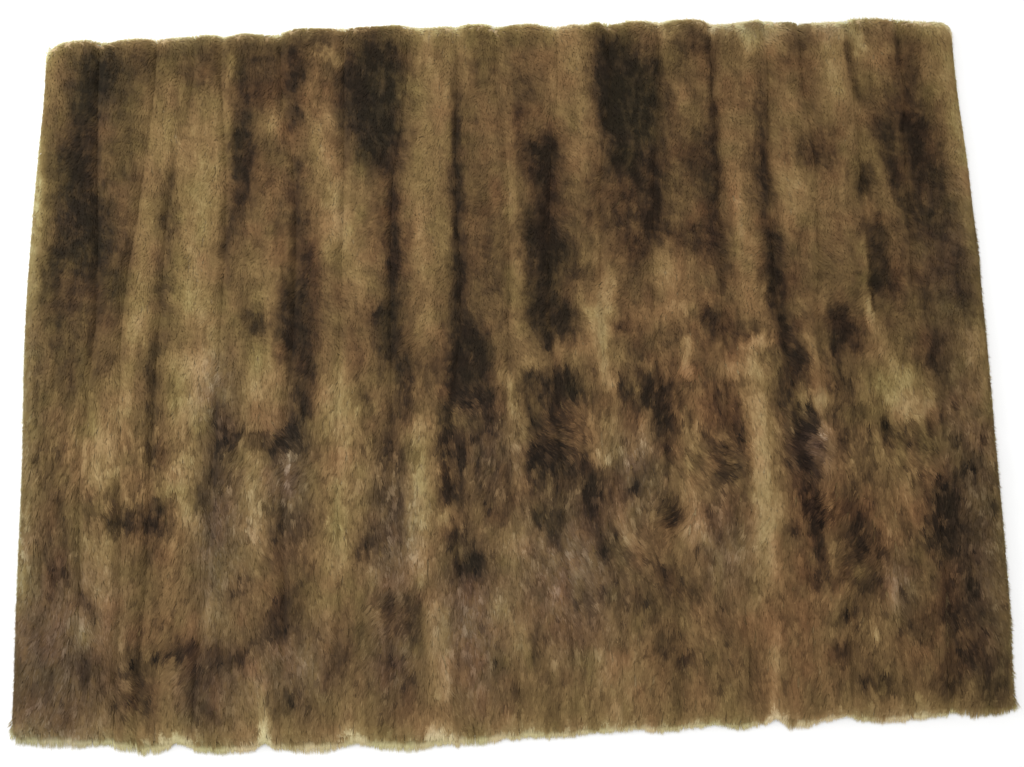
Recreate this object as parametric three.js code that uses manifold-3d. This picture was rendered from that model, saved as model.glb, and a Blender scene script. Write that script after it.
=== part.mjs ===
import * as THREE from 'three';
import { mergeVertices } from 'three/addons/utils/BufferGeometryUtils.js';
import Module from 'manifold-3d';

// A beaver fur throw that lies flat: long pelts sewn side by side, each a lumpy slab of fur on its hide.
// Millimetres. X runs across the pelts, along the long side. Y runs up the nap, and Z is up from the floor.

// Driving dimensions
const crownHeight = 27; // fur over the middle of a pelt
const seamHeight = 16; // fur at a sewn groove
const rimHeight = 7; // the fullest point of the outer rim above the floor
const rimDepth = 34; // from the rim to full height
const seamGap = 0.36; // between two pelts
const grooveWidth = 13; // from a seam to the shoulder of its pelt
const notchDepth = 7; // how far a seam pulls the top edge in between two pelts
const lumpHeight = 2.4; // uneven fur all over

const hemLock = { pitch: 22, inside: 17, least: 4, most: 15, width: 19, height: 12, lean: 0.35 };
const sideLock = { pitch: 56, inside: 17, least: 2, most: 8, width: 18, height: 10, trail: 38 };
const topLock = { pitch: 50, inside: 15, least: 2, most: 7, width: 19, height: 9, lean: 0.5 };
const lockMargin = 11; // from the middle of a lock to the next pelt

const table = (columns, rows) =>
  rows.map((row) => Object.fromEntries(columns.map((column, place) => [column, row[place]])));

// Where each seam stands across the throw, at six places down its length. The first and last rows are
// the outer edges of the fur.
const places = { head: 650, shoulder: 400, middle: 100, waist: -200, low: -480, hem: -650 };
const seams = table(Object.keys(places), [
  [-991, -1001, -1008, -1001, -999, -996],
  [-873, -865, -859, -877, -869, -877],
  [-749, -772, -803, -797, -787, -792],
  [-669, -709, -725, -735, -739, -749],
  [-607, -591, -597, -609, -617, -637],
  [-479, -447, -445, -467, -459, -465],
  [-342, -342, -349, -355, -347, -359],
  [-205, -237, -243, -241, -247, -237],
  [-97, -103, -97, -125, -101, -113],
  [-15, 9, 3, -5, 23, 11],
  [121, 99, 91, 108, 113, 121],
  [235, 208, 199, 211, 217, 215],
  [343, 321, 309, 325, 333, 329],
  [455, 459, 451, 453, 465, 471],
  [578, 565, 569, 609, 593, 603],
  [651, 667, 655, 653, 675, 671],
  [761, 765, 773, 771, 781, 779],
  [871, 861, 855, 869, 875, 865],
  [990, 1000, 1006, 1006, 1005, 998],
]);

// Each pelt from left to right: where its fur ends at the top and the hem, how full it is, and its colour
const pelts = table(['top', 'hem', 'fullness', 'shade'], [
  [736, -728, 0.94, 'darkBrown'],
  [737, -735, 0.98, 'brown'],
  [742, -740, 1.02, 'tan'],
  [744, -747, 1.05, 'tan'],
  [744, -753, 1.0, 'brown'],
  [755, -749, 0.97, 'brown'],
  [757, -751, 1.03, 'darkBrown'],
  [759, -752, 1.0, 'tan'],
  [759, -745, 0.96, 'brown'],
  [756, -740, 1.02, 'brown'],
  [756, -736, 0.97, 'tan'],
  [759, -734, 1.0, 'darkBrown'],
  [760, -731, 1.02, 'brown'],
  [756, -727, 1.04, 'tan'],
  [753, -725, 1.0, 'brown'],
  [748, -724, 1.03, 'brown'],
  [755, -721, 0.98, 'tan'],
  [749, -713, 0.93, 'darkBrown'],
]);

// The main tufts and hollows of the fur: the centre, half size across and along, and height
const tufts = table(['x', 'y', 'across', 'along', 'rise'], [
  [-880, 590, 30, 110, -4],
  [-860, 290, 26, 60, -4],
  [-680, 150, 34, 150, 3],
  [-565, 510, 28, 90, -3.5],
  [-665, -120, 40, 130, 3],
  [-610, -150, 20, 90, -4],
  [-480, -140, 42, 55, -6],
  [-440, -190, 30, 45, 4],
  [-435, 110, 38, 100, -3],
  [-280, 570, 52, 150, -5],
  [-170, 350, 36, 260, 3.5],
  [-185, -270, 32, 110, 3],
  [-125, -190, 22, 90, -4],
  [-90, -40, 28, 80, -5],
  [-90, -430, 32, 45, -4],
  [90, 300, 30, 90, -5],
  [85, -190, 48, 50, -5],
  [150, 600, 42, 120, 3.5],
  [200, 60, 12, 70, -4],
  [262, 580, 48, 140, -5],
  [310, -120, 20, 80, -5],
  [325, -310, 30, 24, -6],
  [505, 300, 34, 300, 4],
  [520, -220, 26, 220, 4],
  [575, 150, 16, 100, -5],
  [610, -150, 32, 80, -6],
  [640, -350, 28, 90, -4],
  [710, -400, 34, 60, -6],
  [820, 300, 30, 120, 3.5],
  [830, -80, 50, 60, 4],
  [880, 470, 40, 130, -4],
  [890, -310, 38, 60, -5],
  [900, -520, 36, 60, -5],
  [-770, -630, 42, 50, -5],
  [-640, -600, 36, 70, -4],
  [-210, -520, 44, 70, -3],
]);

const shades = {
  darkBrown: 0x4a3a2a,
  brown: 0x66513a,
  tan: 0x8a7048,
};

// Cross section of a pelt: interior points between its two shoulders
const crownPoints = [0.14, 0.38, 0.62, 0.86];
const rowCount = 15; // rows of sections between the two ends
const endRows = [0, 0.3, 1]; // rows that round an end, as shares of rimDepth
const endHeights = [rimHeight / crownHeight, 0.66, 0.95];

const clamp = THREE.MathUtils.clamp;
const mix = THREE.MathUtils.lerp;

// An uneven but repeatable number from 0 to 1
function uneven(seed) {
  const wave = Math.sin(seed * 12.9898 + 4.1414) * 43758.5453;
  return wave - Math.floor(wave);
}

// Smooth line of a seam or outer edge, straight beyond its first and last place
function seamX(seam, y) {
  const names = Object.keys(places);
  const last = names.length - 1;
  if (y >= places[names[0]]) return seam[names[0]];
  if (y <= places[names[last]]) return seam[names[last]];
  const step = names.findIndex((name) => places[name] < y);
  const slope = (at) => {
    if (at === 0 || at === last) return 0;
    return (seam[names[at + 1]] - seam[names[at - 1]]) / (places[names[at + 1]] - places[names[at - 1]]);
  };
  const from = places[names[step - 1]];
  const run = places[names[step]] - from;
  const share = (y - from) / run;
  const square = share * share;
  const cube = square * share;
  return (2 * cube - 3 * square + 1) * seam[names[step - 1]] + (3 * square - 2 * cube) * seam[names[step]]
    + run * ((cube - 2 * square + share) * slope(step - 1) + (cube - square) * slope(step));
}

function lumps(x, y) {
  const broad = Math.sin(x / 31 + 2.2 * Math.sin(y / 190)) * Math.sin(y / 74 + x / 120);
  const fine = Math.sin(x / 17 - y / 61 + 1.7) * Math.cos(y / 39 + 0.6);
  return lumpHeight * (broad + 0.6 * fine);
}

function tuftRise(x, y) {
  return tufts.reduce((sum, tuft) => {
    const across = (x - tuft.x) / tuft.across;
    const along = (y - tuft.y) / tuft.along;
    return sum + tuft.rise * Math.exp(-across * across - along * along);
  }, 0);
}

// How far a rounded outer corner cuts into the end of the first or last pelt
function cornerCut(fromEdge, radius) {
  const across = clamp(1 - fromEdge / radius, 0, 1);
  return radius * (1 - Math.sqrt(1 - across * across));
}

const corners = { topLeft: 40, topRight: 30, hemLeft: 12, hemRight: 12 };

// The two ends of a pelt at a distance x across the throw
function ends(index, x) {
  const pelt = pelts[index];
  const left = seamX(seams[index], places.head);
  const right = seamX(seams[index + 1], places.head);
  const across = clamp((2 * x - left - right) / (right - left), -1, 1);
  const first = index === 0;
  const final = index === pelts.length - 1;
  let top = pelt.top - notchDepth * across ** 4 * ((first && across < 0) || (final && across > 0) ? 0 : 1);
  let hem = pelt.hem;
  if (first) {
    top -= cornerCut(x - seams[0].head, corners.topLeft);
    hem += cornerCut(x - seams[0].hem, corners.hemLeft);
  }
  if (final) {
    top -= cornerCut(seams[index + 1].head - x, corners.topRight);
    hem += cornerCut(seams[index + 1].hem - x, corners.hemRight);
  }
  return { top, hem };
}

// The rows of a pelt from hem to top. Rows inside share their y with the next pelt, so seams run true.
function peltRows() {
  const endRow = (end) => (share, place) => ({ end, share, height: endHeights[place] });
  const inside = Array.from({ length: rowCount }, (_, row) => (
    { y: mix(places.hem, places.head, row / (rowCount - 1)), height: 1 }
  ));
  return [...endRows.map(endRow('hem')), ...inside, ...endRows.map(endRow('top')).reverse()];
}

// One cross section as points from the left foot over the crown to the right foot
function section(index, row) {
  const y = row.y ?? (row.end === 'top' ? places.head : places.hem);
  const pelt = pelts[index];
  const leftOuter = index === 0;
  const rightOuter = index === pelts.length - 1;
  const left = seamX(seams[index], y) + (leftOuter ? 0 : seamGap / 2);
  const right = seamX(seams[index + 1], y) - (rightOuter ? 0 : seamGap / 2);
  const full = crownHeight * pelt.fullness;
  const side = (x, outward, outer) => {
    const shoulder = x - outward * (outer ? rimDepth * 0.3 : grooveWidth);
    const shoulderHeight = outer ? full * 0.66 : mix(seamHeight, full, 0.62);
    return [
      { x, z: 0, foot: true },
      { x, z: outer ? rimHeight : seamHeight },
      { x: shoulder, z: shoulderHeight },
    ];
  };
  const leftSide = side(left, -1, leftOuter);
  const rightSide = side(right, 1, rightOuter).reverse();
  const crown = crownPoints.map((share) => {
    const x = mix(leftSide[2].x, rightSide[0].x, share);
    return { x, z: full * (1 - 0.1 * (2 * share - 1) ** 2) };
  });
  return [...leftSide, ...crown, ...rightSide].map((point) => {
    const end = ends(index, clamp(point.x, left, right));
    let along = row.y;
    if (row.end === 'top') along = end.top - row.share * rimDepth;
    if (row.end === 'hem') along = end.hem + row.share * rimDepth;
    const inner = point.z > seamHeight ? lumps(point.x, along) + tuftRise(point.x, along) : 0;
    const z = point.foot ? 0 : Math.max(point.z * row.height + inner * row.height, rimHeight * 0.8);
    return new THREE.Vector3(point.x, along, z);
  });
}

// A closed slab lofted through the pelt's sections
function slabGeometry(index) {
  const rows = peltRows().map((row) => section(index, row));
  const around = rows[0].length;
  const positions = rows.flat().flatMap((point) => [point.x, point.y, point.z]);
  const faces = [];
  for (let row = 0; row < rows.length - 1; row += 1) {
    for (let place = 0; place < around; place += 1) {
      const next = (place + 1) % around;
      const a = row * around + place;
      const b = row * around + next;
      faces.push(a, b, b + around, a, b + around, a + around);
    }
  }
  const far = (rows.length - 1) * around;
  for (let place = 1; place < around - 1; place += 1) {
    faces.push(0, place + 1, place);
    faces.push(far, far + place, far + place + 1);
  }
  return indexedGeometry(positions, faces);
}

function indexedGeometry(positions, faces) {
  const geometry = new THREE.BufferGeometry();
  geometry.setAttribute('position', new THREE.Float32BufferAttribute(positions, 3));
  geometry.setIndex(faces);
  return geometry;
}

// A three-sided lock of hair that lies on the floor, from its root in the slab to its tip
function lockGeometry(root, tip, width, height, bend) {
  const run = new THREE.Vector2().subVectors(tip, root);
  const aside = new THREE.Vector2(run.y, -run.x).normalize();
  const middle = root.clone().addScaledVector(run, 0.6).addScaledVector(aside, bend);
  const positions = [];
  for (const [centre, share] of [[root, 1], [middle, 0.72]]) {
    const half = (width / 2) * share;
    positions.push(centre.x - aside.x * half, centre.y - aside.y * half, 0);
    positions.push(centre.x + aside.x * half, centre.y + aside.y * half, 0);
    positions.push(centre.x, centre.y, height * share);
  }
  positions.push(tip.x, tip.y, 0);
  const faces = [0, 1, 2];
  for (const [a, b] of [[0, 1], [1, 2], [2, 0]]) {
    faces.push(a, b + 3, b, a, a + 3, b + 3);
    faces.push(a + 3, 6, b + 3);
  }
  return indexedGeometry(positions, faces);
}

function hemLocks(index) {
  const left = seams[index].hem;
  const right = seams[index + 1].hem;
  const count = Math.round((right - left) / hemLock.pitch);
  return Array.from({ length: count }, (_, place) => {
    const seed = index * 40 + place;
    const x = mix(left, right, (place + 0.5) / count);
    const reach = mix(hemLock.least, hemLock.most, uneven(seed) ** 1.4);
    const lean = (uneven(seed + 0.3) - 0.5) * 2 * hemLock.lean * (reach + hemLock.inside);
    const hem = ends(index, x).hem;
    const root = new THREE.Vector2(clamp(x, left + lockMargin, right - lockMargin), hem + hemLock.inside);
    const tip = new THREE.Vector2(clamp(x + lean, left + lockMargin, right - lockMargin), hem - reach);
    return lockGeometry(root, tip, hemLock.width, hemLock.height, 1.5 * Math.sin(seed));
  });
}

function topLocks(index) {
  const left = seams[index].head;
  const right = seams[index + 1].head;
  const count = Math.round((right - left) / topLock.pitch);
  return Array.from({ length: count }, (_, place) => {
    const seed = index * 23 + place + 900;
    const x = mix(left, right, (place + 0.5) / count);
    const reach = mix(topLock.least, topLock.most, uneven(seed));
    const lean = (uneven(seed + 0.3) - 0.5) * 2 * topLock.lean * (reach + topLock.inside);
    const top = ends(index, x).top;
    const root = new THREE.Vector2(clamp(x, left + lockMargin, right - lockMargin), top - topLock.inside);
    const tip = new THREE.Vector2(clamp(x + lean, left + lockMargin, right - lockMargin), top + reach);
    return lockGeometry(root, tip, topLock.width, topLock.height, 0);
  });
}

// Locks down an outer edge trail along the nap, towards the hem
function sideLocks(edge, outward, firstSeed) {
  const from = places.hem - 40;
  const to = places.head + 20;
  const count = Math.round((to - from) / sideLock.pitch);
  return Array.from({ length: count }, (_, place) => {
    const seed = firstSeed + place;
    const y = mix(from, to, (place + 0.5 + 0.4 * (uneven(seed) - 0.5)) / count);
    const reach = mix(sideLock.least, sideLock.most, uneven(seed + 0.6));
    const root = new THREE.Vector2(seamX(edge, y) - outward * sideLock.inside, y + sideLock.trail / 2);
    const tipY = y - sideLock.trail / 2;
    const tip = new THREE.Vector2(seamX(edge, tipY) + outward * reach, tipY);
    return lockGeometry(root, tip, sideLock.width, sideLock.height, 0);
  });
}

const kernel = await Module();
kernel.setup();

function solidOf(geometry) {
  const merged = mergeVertices(geometry);
  return new kernel.Manifold(new kernel.Mesh({
    numProp: 3,
    vertProperties: new Float32Array(merged.attributes.position.array),
    triVerts: new Uint32Array(merged.index.array),
  }));
}

function geometryOf(solid) {
  const mesh = solid.getMesh();
  return indexedGeometry(Array.from(mesh.vertProperties), Array.from(mesh.triVerts));
}

function peltMesh(index) {
  const locks = [...hemLocks(index), ...topLocks(index)];
  if (index === 0) locks.push(...sideLocks(seams[0], -1, 300));
  if (index === pelts.length - 1) locks.push(...sideLocks(seams[pelts.length], 1, 400));
  const solid = locks.reduce((body, lock) => body.add(solidOf(lock)), solidOf(slabGeometry(index)));
  const fur = new THREE.MeshStandardMaterial({
    color: shades[pelts[index].shade],
    roughness: 0.9,
    metalness: 0,
  });
  const mesh = new THREE.Mesh(geometryOf(solid), fur);
  mesh.name = `pelt_${String(index + 1).padStart(2, '0')}`;
  return mesh;
}

const hide = new THREE.Group();
pelts.forEach((_, index) => hide.add(peltMesh(index)));

// The origin is on the floor under the middle of the throw
const extent = new THREE.Box3().setFromObject(hide, true);
hide.position.set(-(extent.min.x + extent.max.x) / 2, -(extent.min.y + extent.max.y) / 2, -extent.min.z);

const throwGroup = new THREE.Group();
throwGroup.add(hide);

export default throwGroup;
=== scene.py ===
import math

import bpy
import numpy as np
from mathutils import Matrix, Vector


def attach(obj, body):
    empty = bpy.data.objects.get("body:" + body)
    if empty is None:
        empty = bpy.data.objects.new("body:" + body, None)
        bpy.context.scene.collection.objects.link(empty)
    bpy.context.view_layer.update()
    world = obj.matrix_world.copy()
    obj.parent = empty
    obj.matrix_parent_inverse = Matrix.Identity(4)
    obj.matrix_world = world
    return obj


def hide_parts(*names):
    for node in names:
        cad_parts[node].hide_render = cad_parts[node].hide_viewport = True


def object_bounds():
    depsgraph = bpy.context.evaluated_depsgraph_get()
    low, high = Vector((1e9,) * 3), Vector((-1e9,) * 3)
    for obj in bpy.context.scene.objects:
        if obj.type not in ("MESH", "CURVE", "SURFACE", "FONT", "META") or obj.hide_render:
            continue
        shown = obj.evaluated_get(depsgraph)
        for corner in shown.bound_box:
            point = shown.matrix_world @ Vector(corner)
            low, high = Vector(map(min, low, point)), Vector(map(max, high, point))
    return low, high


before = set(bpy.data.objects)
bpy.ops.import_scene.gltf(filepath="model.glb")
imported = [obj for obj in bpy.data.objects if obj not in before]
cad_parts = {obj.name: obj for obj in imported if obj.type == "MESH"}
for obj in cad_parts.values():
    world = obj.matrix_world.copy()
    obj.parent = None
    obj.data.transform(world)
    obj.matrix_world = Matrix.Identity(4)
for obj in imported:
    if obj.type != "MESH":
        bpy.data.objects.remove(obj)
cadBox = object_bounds()
mm = 0.001


# Camera and light

cameraSet = {
    "lensMm": 38.67,
    "place": (-0.0125, -0.401, 2.272),
    "turnDeg": (9.02, -0.33, -1.22),  # nearly straight down, with the hem towards the viewer
}


def addCamera(settings):
    data = bpy.data.cameras.new("viewCamera")
    data.sensor_width = 36
    data.lens = settings["lensMm"]
    camera = bpy.data.objects.new("viewCamera", data)
    camera.location = settings["place"]
    camera.rotation_euler = [math.radians(turn) for turn in settings["turnDeg"]]
    bpy.context.scene.collection.objects.link(camera)
    bpy.context.scene.camera = camera


lightSet = {
    "skyColor": (1.0, 1.0, 1.0),
    "skyStrength": 0.75,
    "lamps": [
        {"name": "overhead", "place": (-0.6, 0.9, 3.2), "aim": (0, 0, 0), "size": 2.4, "watts": 62},
        {"name": "lowSide", "place": (-3.2, 2.2, 1.7), "aim": (0, 0, 0), "size": 1.6, "watts": 60},
    ],
    "floorColor": (0.93, 0.93, 0.925),
    "floorRoughness": 0.85,
    "floorSize": 14,
    "floorDrop": 0.0008,
}


def addLamp(lamp):
    data = bpy.data.lights.new(lamp["name"], "AREA")
    data.size = lamp["size"]
    data.energy = lamp["watts"]
    obj = bpy.data.objects.new(lamp["name"], data)
    away = np.array(lamp["place"], float) - np.array(lamp["aim"], float)
    obj.location = lamp["place"]
    obj.rotation_euler = (
        math.atan2(math.hypot(away[0], away[1]), away[2]),
        0,
        math.atan2(away[0], -away[1]),
    )
    bpy.context.scene.collection.objects.link(obj)


def addStage(settings):
    world = bpy.data.worlds.new("softSky")
    bpy.context.scene.world = world
    world.use_nodes = True
    background = world.node_tree.nodes["Background"]
    background.inputs["Color"].default_value = (*settings["skyColor"], 1)
    background.inputs["Strength"].default_value = settings["skyStrength"]
    for lamp in settings["lamps"]:
        addLamp(lamp)
    half = settings["floorSize"] / 2
    low = cadBox[0].z - settings["floorDrop"]
    mesh = bpy.data.meshes.new("floor")
    corners = [(-half, -half, low), (half, -half, low), (half, half, low), (-half, half, low)]
    mesh.from_pydata(corners, [], [(0, 1, 2, 3)])
    floor = bpy.data.objects.new("floor", mesh)
    bpy.context.scene.collection.objects.link(floor)
    paint = bpy.data.materials.new("paleFloor")
    paint.use_nodes = True
    shader = paint.node_tree.nodes["Principled BSDF"]
    shader.inputs["Base Color"].default_value = (*settings["floorColor"], 1)
    shader.inputs["Roughness"].default_value = settings["floorRoughness"]
    mesh.materials.append(paint)


bpy.context.scene.view_settings.view_transform = "Standard"
addCamera(cameraSet)
addStage(lightSet)
print("camera, light and floor are in place")


# Chance and soft noise, the same at each run

chanceSet = {"column": 374761393, "row": 668265263, "seed": 144269504, "stir": 1274126177}


def chance(column, row, seed):
    # a number from 0 to 1 for each cell of a grid
    mix = column.astype(np.int64) * chanceSet["column"] + row.astype(np.int64) * chanceSet["row"]
    mix = (mix + seed * chanceSet["seed"]) & 0xFFFFFFFF
    mix = ((mix ^ (mix >> 13)) * chanceSet["stir"]) & 0xFFFFFFFF
    mix = ((mix ^ (mix >> 16)) * chanceSet["row"]) & 0xFFFFFFFF
    return ((mix ^ (mix >> 15)) & 0xFFFFFF) / 0xFFFFFF


def cloud(x, y, wide, long, seed):
    # smooth noise from -1 to 1, with patches about wide by long
    u = x / wide + seed * 7.31
    v = y / long + seed * 3.17
    column = np.floor(u)
    row = np.floor(v)
    u = u - column
    v = v - row
    u = u * u * (3 - 2 * u)
    v = v * v * (3 - 2 * v)
    low = chance(column, row, seed) * (1 - u) + chance(column + 1, row, seed) * u
    high = chance(column, row + 1, seed) * (1 - u) + chance(column + 1, row + 1, seed) * u
    return 2 * (low * (1 - v) + high * v) - 1


def smooth(value, low, high):
    # 0 below low, 1 above high, and a soft step between
    share = np.clip((value - low) / (high - low), 0, 1)
    return share * share * (3 - 2 * share)


def spot(x, y, middleX, middleY, across, along):
    # 1 in the middle of a soft round patch, and nearly 0 outside it
    return np.exp(-((x - middleX) / across) ** 2 - ((y - middleY) / along) ** 2)


def shortToLong(settings, name, low):
    # the short fur's value where low is 0, the long fur's where it is 1
    short = settings["short" + name]
    return short + (settings["long" + name] - short) * low


def between(x, table):
    # the value at x in a table of places and values
    return np.interp(x, *np.array(table, float).T)


# The lay of the pelts, in millimetres as the solids have it

laySet = {
    "places": (650, 400, 100, -200, -480, -650),  # heights at which the table gives each seam
    "seams": [  # x of the left edge, of each seam and of the right edge
        (-991, -1001, -1008, -1001, -999, -996),
        (-873, -865, -859, -877, -869, -877),
        (-749, -772, -803, -797, -787, -792),
        (-669, -709, -725, -735, -739, -749),
        (-607, -591, -597, -609, -617, -637),
        (-479, -447, -445, -467, -459, -465),
        (-342, -342, -349, -355, -347, -359),
        (-205, -237, -243, -241, -247, -237),
        (-97, -103, -97, -125, -101, -113),
        (-15, 9, 3, -5, 23, 11),
        (121, 99, 91, 108, 113, 121),
        (235, 208, 199, 211, 217, 215),
        (343, 321, 309, 325, 333, 329),
        (455, 459, 451, 453, 465, 471),
        (578, 565, 569, 609, 593, 603),
        (651, 667, 655, 653, 675, 671),
        (761, 765, 773, 771, 781, 779),
        (871, 861, 855, 869, 875, 865),
        (990, 1000, 1006, 1006, 1005, 998),
    ],
    "tops": (736, 737, 742, 744, 744, 755, 757, 759, 759, 756, 756, 759, 760, 756, 753, 748, 755, 749),
    "hems": (-728, -735, -740, -747, -753, -749, -751, -752, -745, -740, -736, -734, -731, -727, -725, -724,
             -721, -713),
    "slots": ("fur_dark", "fur_brown", "fur_tan", "fur_tan", "fur_brown", "fur_brown",
              "fur_dark", "fur_tan", "fur_brown", "fur_brown", "fur_tan", "fur_dark",
              "fur_brown", "fur_tan", "fur_brown", "fur_brown", "fur_tan", "fur_dark"),
    "notch": 7,  # how much shorter a pelt's top is at its seams
    "outward": 14,  # how far inside the outline the fur begins to point outwards
    "corners": {"topLeft": 40, "topRight": 30, "hemLeft": 12, "hemRight": 12},
    "topDips": [  # x, and how far the fur stays short of the sewn top edge there
        (-1000, 6), (-975, 8), (-950, 3), (-925, 0), (-900, -1), (-885, 2), (-868, 6), (-850, 7), (-835, 2),
        (-800, -1), (-760, 0), (-735, 5), (-705, 5), (-685, 1), (-650, 0), (-620, 2), (-590, 2), (-560, -2),
        (-540, 1), (-500, 4), (-475, 4), (-463, 3), (-452, 0), (-300, 1), (-250, -1), (-220, -4), (-206, -4),
        (-196, 4), (-185, 8), (-150, 8), (-120, 5), (-95, 3), (-70, 1), (-40, 1), (-15, 3), (10, 4), (30, 1),
        (60, -1), (80, 1), (95, 5), (140, 5), (155, 2), (175, 5), (190, 5), (205, -2), (215, -3), (230, 2),
        (250, 5), (265, 4), (285, 0), (330, 0), (350, 4), (380, 0), (430, -1), (447, 0), (457, 4), (475, 8),
        (500, 8), (530, 5), (550, 1), (568, -4), (582, -3), (595, 2), (620, 3), (650, 1), (700, 1), (760, -2),
        (780, -1), (830, -1), (850, 3), (865, -2), (885, -3), (900, 2), (930, 4), (965, 5), (985, 4),
    ],
}
peltCount = len(laySet["tops"])


def seamX(line, y):
    # smooth line through a seam's places, straight beyond the first and last
    heights = np.array(laySet["places"][::-1], float)
    xs = np.array(laySet["seams"][line][::-1], float)
    slopes = np.zeros(len(xs))
    slopes[1:-1] = (xs[2:] - xs[:-2]) / (heights[2:] - heights[:-2])
    y = np.clip(y, heights[0], heights[-1])
    step = np.clip(np.searchsorted(heights, y, side="right") - 1, 0, len(xs) - 2)
    run = heights[step + 1] - heights[step]
    share = (y - heights[step]) / run
    square = share**2
    cube = share**3
    return ((2 * cube - 3 * square + 1) * xs[step] + (3 * square - 2 * cube) * xs[step + 1]
            + run * ((cube - 2 * square + share) * slopes[step] + (cube - square) * slopes[step + 1]))


def peltAt(x, y):
    # the number of the pelt, from 0 at the left
    index = np.zeros(x.shape, int)
    for line in range(1, peltCount):
        index += x > seamX(line, y)
    return index


def cornerCut(fromEdge, radius):
    # how much a round corner takes off
    across = np.clip(1 - fromEdge / radius, 0, 1)
    return radius * (1 - np.sqrt(1 - across**2))


def endsAt(x):
    # the y of the top edge and of the hem
    y = np.full(x.shape, float(laySet["places"][0]))
    lines = np.array([seamX(line, y[:1])[0] for line in range(peltCount + 1)])
    lows = np.array([seamX(line, -y[:1])[0] for line in range(peltCount + 1)])
    index = np.clip(np.searchsorted(lines, x) - 1, 0, peltCount - 1)
    across = np.clip((2 * x - lines[index] - lines[index + 1]) / (lines[index + 1] - lines[index]), -1, 1)
    outer = ((index == 0) & (across < 0)) | ((index == peltCount - 1) & (across > 0))
    top = np.array(laySet["tops"], float)[index] - np.where(outer, 0, laySet["notch"] * across**4)
    top = top - between(x, laySet["topDips"])
    index = np.clip(np.searchsorted(lows, x) - 1, 0, peltCount - 1)
    hem = np.array(laySet["hems"], float)[index]
    cuts = laySet["corners"]
    top = top - cornerCut(x - lines[0], cuts["topLeft"]) - cornerCut(lines[-1] - x, cuts["topRight"])
    hem = hem + cornerCut(x - lows[0], cuts["hemLeft"]) + cornerCut(lows[-1] - x, cuts["hemRight"])
    return top, hem


def edgeRoom(x, y):
    # how far a point lies inside the outline, the way out, and its room to the left, right, top and hem
    top, hem = endsAt(x)
    rooms = np.stack([x - seamX(0, y), seamX(peltCount, y) - x, top - y, y - hem])
    ways = np.array([(-1, 0), (1, 0), (0, 1), (0, -1)], float)
    pull = np.exp(-np.clip(rooms, 0, None) / laySet["outward"])
    way = np.einsum("kn,kd->nd", pull, ways)
    return rooms.min(0), way, rooms


# The form of the fur, in millimetres

formSet = {
    "crown": 27,  # height of the fur in the middle of a pelt
    "groove": 18,  # its height over a seam
    "shoulder": 15,  # width of a groove's side
    "rim": 7,  # its height at the outline
    "rimDepth": 38,  # how far in from there it is rounded
    "lump": 2.4,
    "fineLump": 0.6,  # the finer lumps, as a share of those
    "shortTuft": 1.3,  # uneven fur, much finer than the lumps
    "longTuft": 2.6,
    "shortFrom": 120,  # further than this above the middle of the throw all the fur is short
    "longFrom": 160,  # further than this below the middle all of it is long
    "hollows": [  # x, y, across, along, rise
        (-880, 590, 30, 110, -4), (-860, 290, 26, 60, -4), (-680, 150, 34, 150, 3),
        (-565, 510, 28, 90, -3.5), (-665, -120, 40, 130, 3), (-610, -150, 20, 90, -4),
        (-480, -140, 42, 55, -6), (-440, -190, 30, 45, 4), (-435, 110, 38, 100, -3),
        (-280, 570, 52, 150, -5), (-170, 350, 36, 260, 3.5), (-185, -270, 32, 110, 3),
        (-125, -190, 22, 90, -4), (-90, -40, 28, 80, -5), (-90, -430, 32, 45, -4), (90, 300, 30, 90, -5),
        (85, -190, 48, 50, -5), (150, 600, 42, 120, 3.5), (200, 60, 12, 70, -4), (262, 580, 48, 140, -5),
        (310, -120, 20, 80, -5), (325, -310, 30, 24, -6), (505, 300, 34, 300, 4), (520, -220, 26, 220, 4),
        (575, 150, 16, 100, -5), (610, -150, 32, 80, -6), (640, -350, 28, 90, -4), (710, -400, 34, 60, -6),
        (820, 300, 30, 120, 3.5), (830, -80, 50, 60, 4), (880, 470, 40, 130, -4), (890, -310, 38, 60, -5),
        (900, -520, 36, 60, -5), (-770, -630, 42, 50, -5), (-640, -600, 36, 70, -4),
        (-210, -520, 44, 70, -3),
    ],
}


def seamRoom(x, y):
    # distance to the nearest seam between two pelts
    room = np.full(x.shape, np.inf)
    for line in range(1, peltCount):
        room = np.minimum(room, np.abs(x - seamX(line, y)))
    return room


def lowHalf(y):
    # 0 in the short fur of the upper half, 1 in the long guard hair of the lower half
    return smooth(-y, -formSet["shortFrom"], formSet["longFrom"])


def calmAt(x, y):
    # the long fur lies smoother near the hem, most of all at the left
    return 1 - (0.25 + 0.3 * smooth(-x, -100, 500)) * smooth(-y, 200, 500)


def unevenness(x, y):
    # the lumps of single tufts
    return cloud(x, y, 17, 34, 3) + 0.7 * cloud(x, y, 8, 16, 4)


def furHeight(x, y):
    inside = edgeRoom(x, y)[0]
    shoulder = np.sqrt(np.clip(seamRoom(x, y) / formSet["shoulder"], 0, 1))
    crown = formSet["groove"] + (formSet["crown"] - formSet["groove"]) * shoulder
    broad = np.sin(x / 31 + 2.2 * np.sin(y / 190)) * np.sin(y / 74 + x / 120)
    fine = np.sin(x / 17 - y / 61 + 1.7) * np.cos(y / 39 + 0.6)
    height = crown + formSet["lump"] * (broad + formSet["fineLump"] * fine)
    height += shortToLong(formSet, "Tuft", lowHalf(y)) * unevenness(x, y)
    for *place, rise in formSet["hollows"]:
        height += rise * spot(x, y, *place)
    share = np.clip(inside / formSet["rimDepth"], 0, 1)
    roundness = np.sqrt(1 - (1 - share) ** 2)
    return formSet["rim"] + (np.maximum(height, formSet["rim"]) - formSet["rim"]) * roundness


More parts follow.
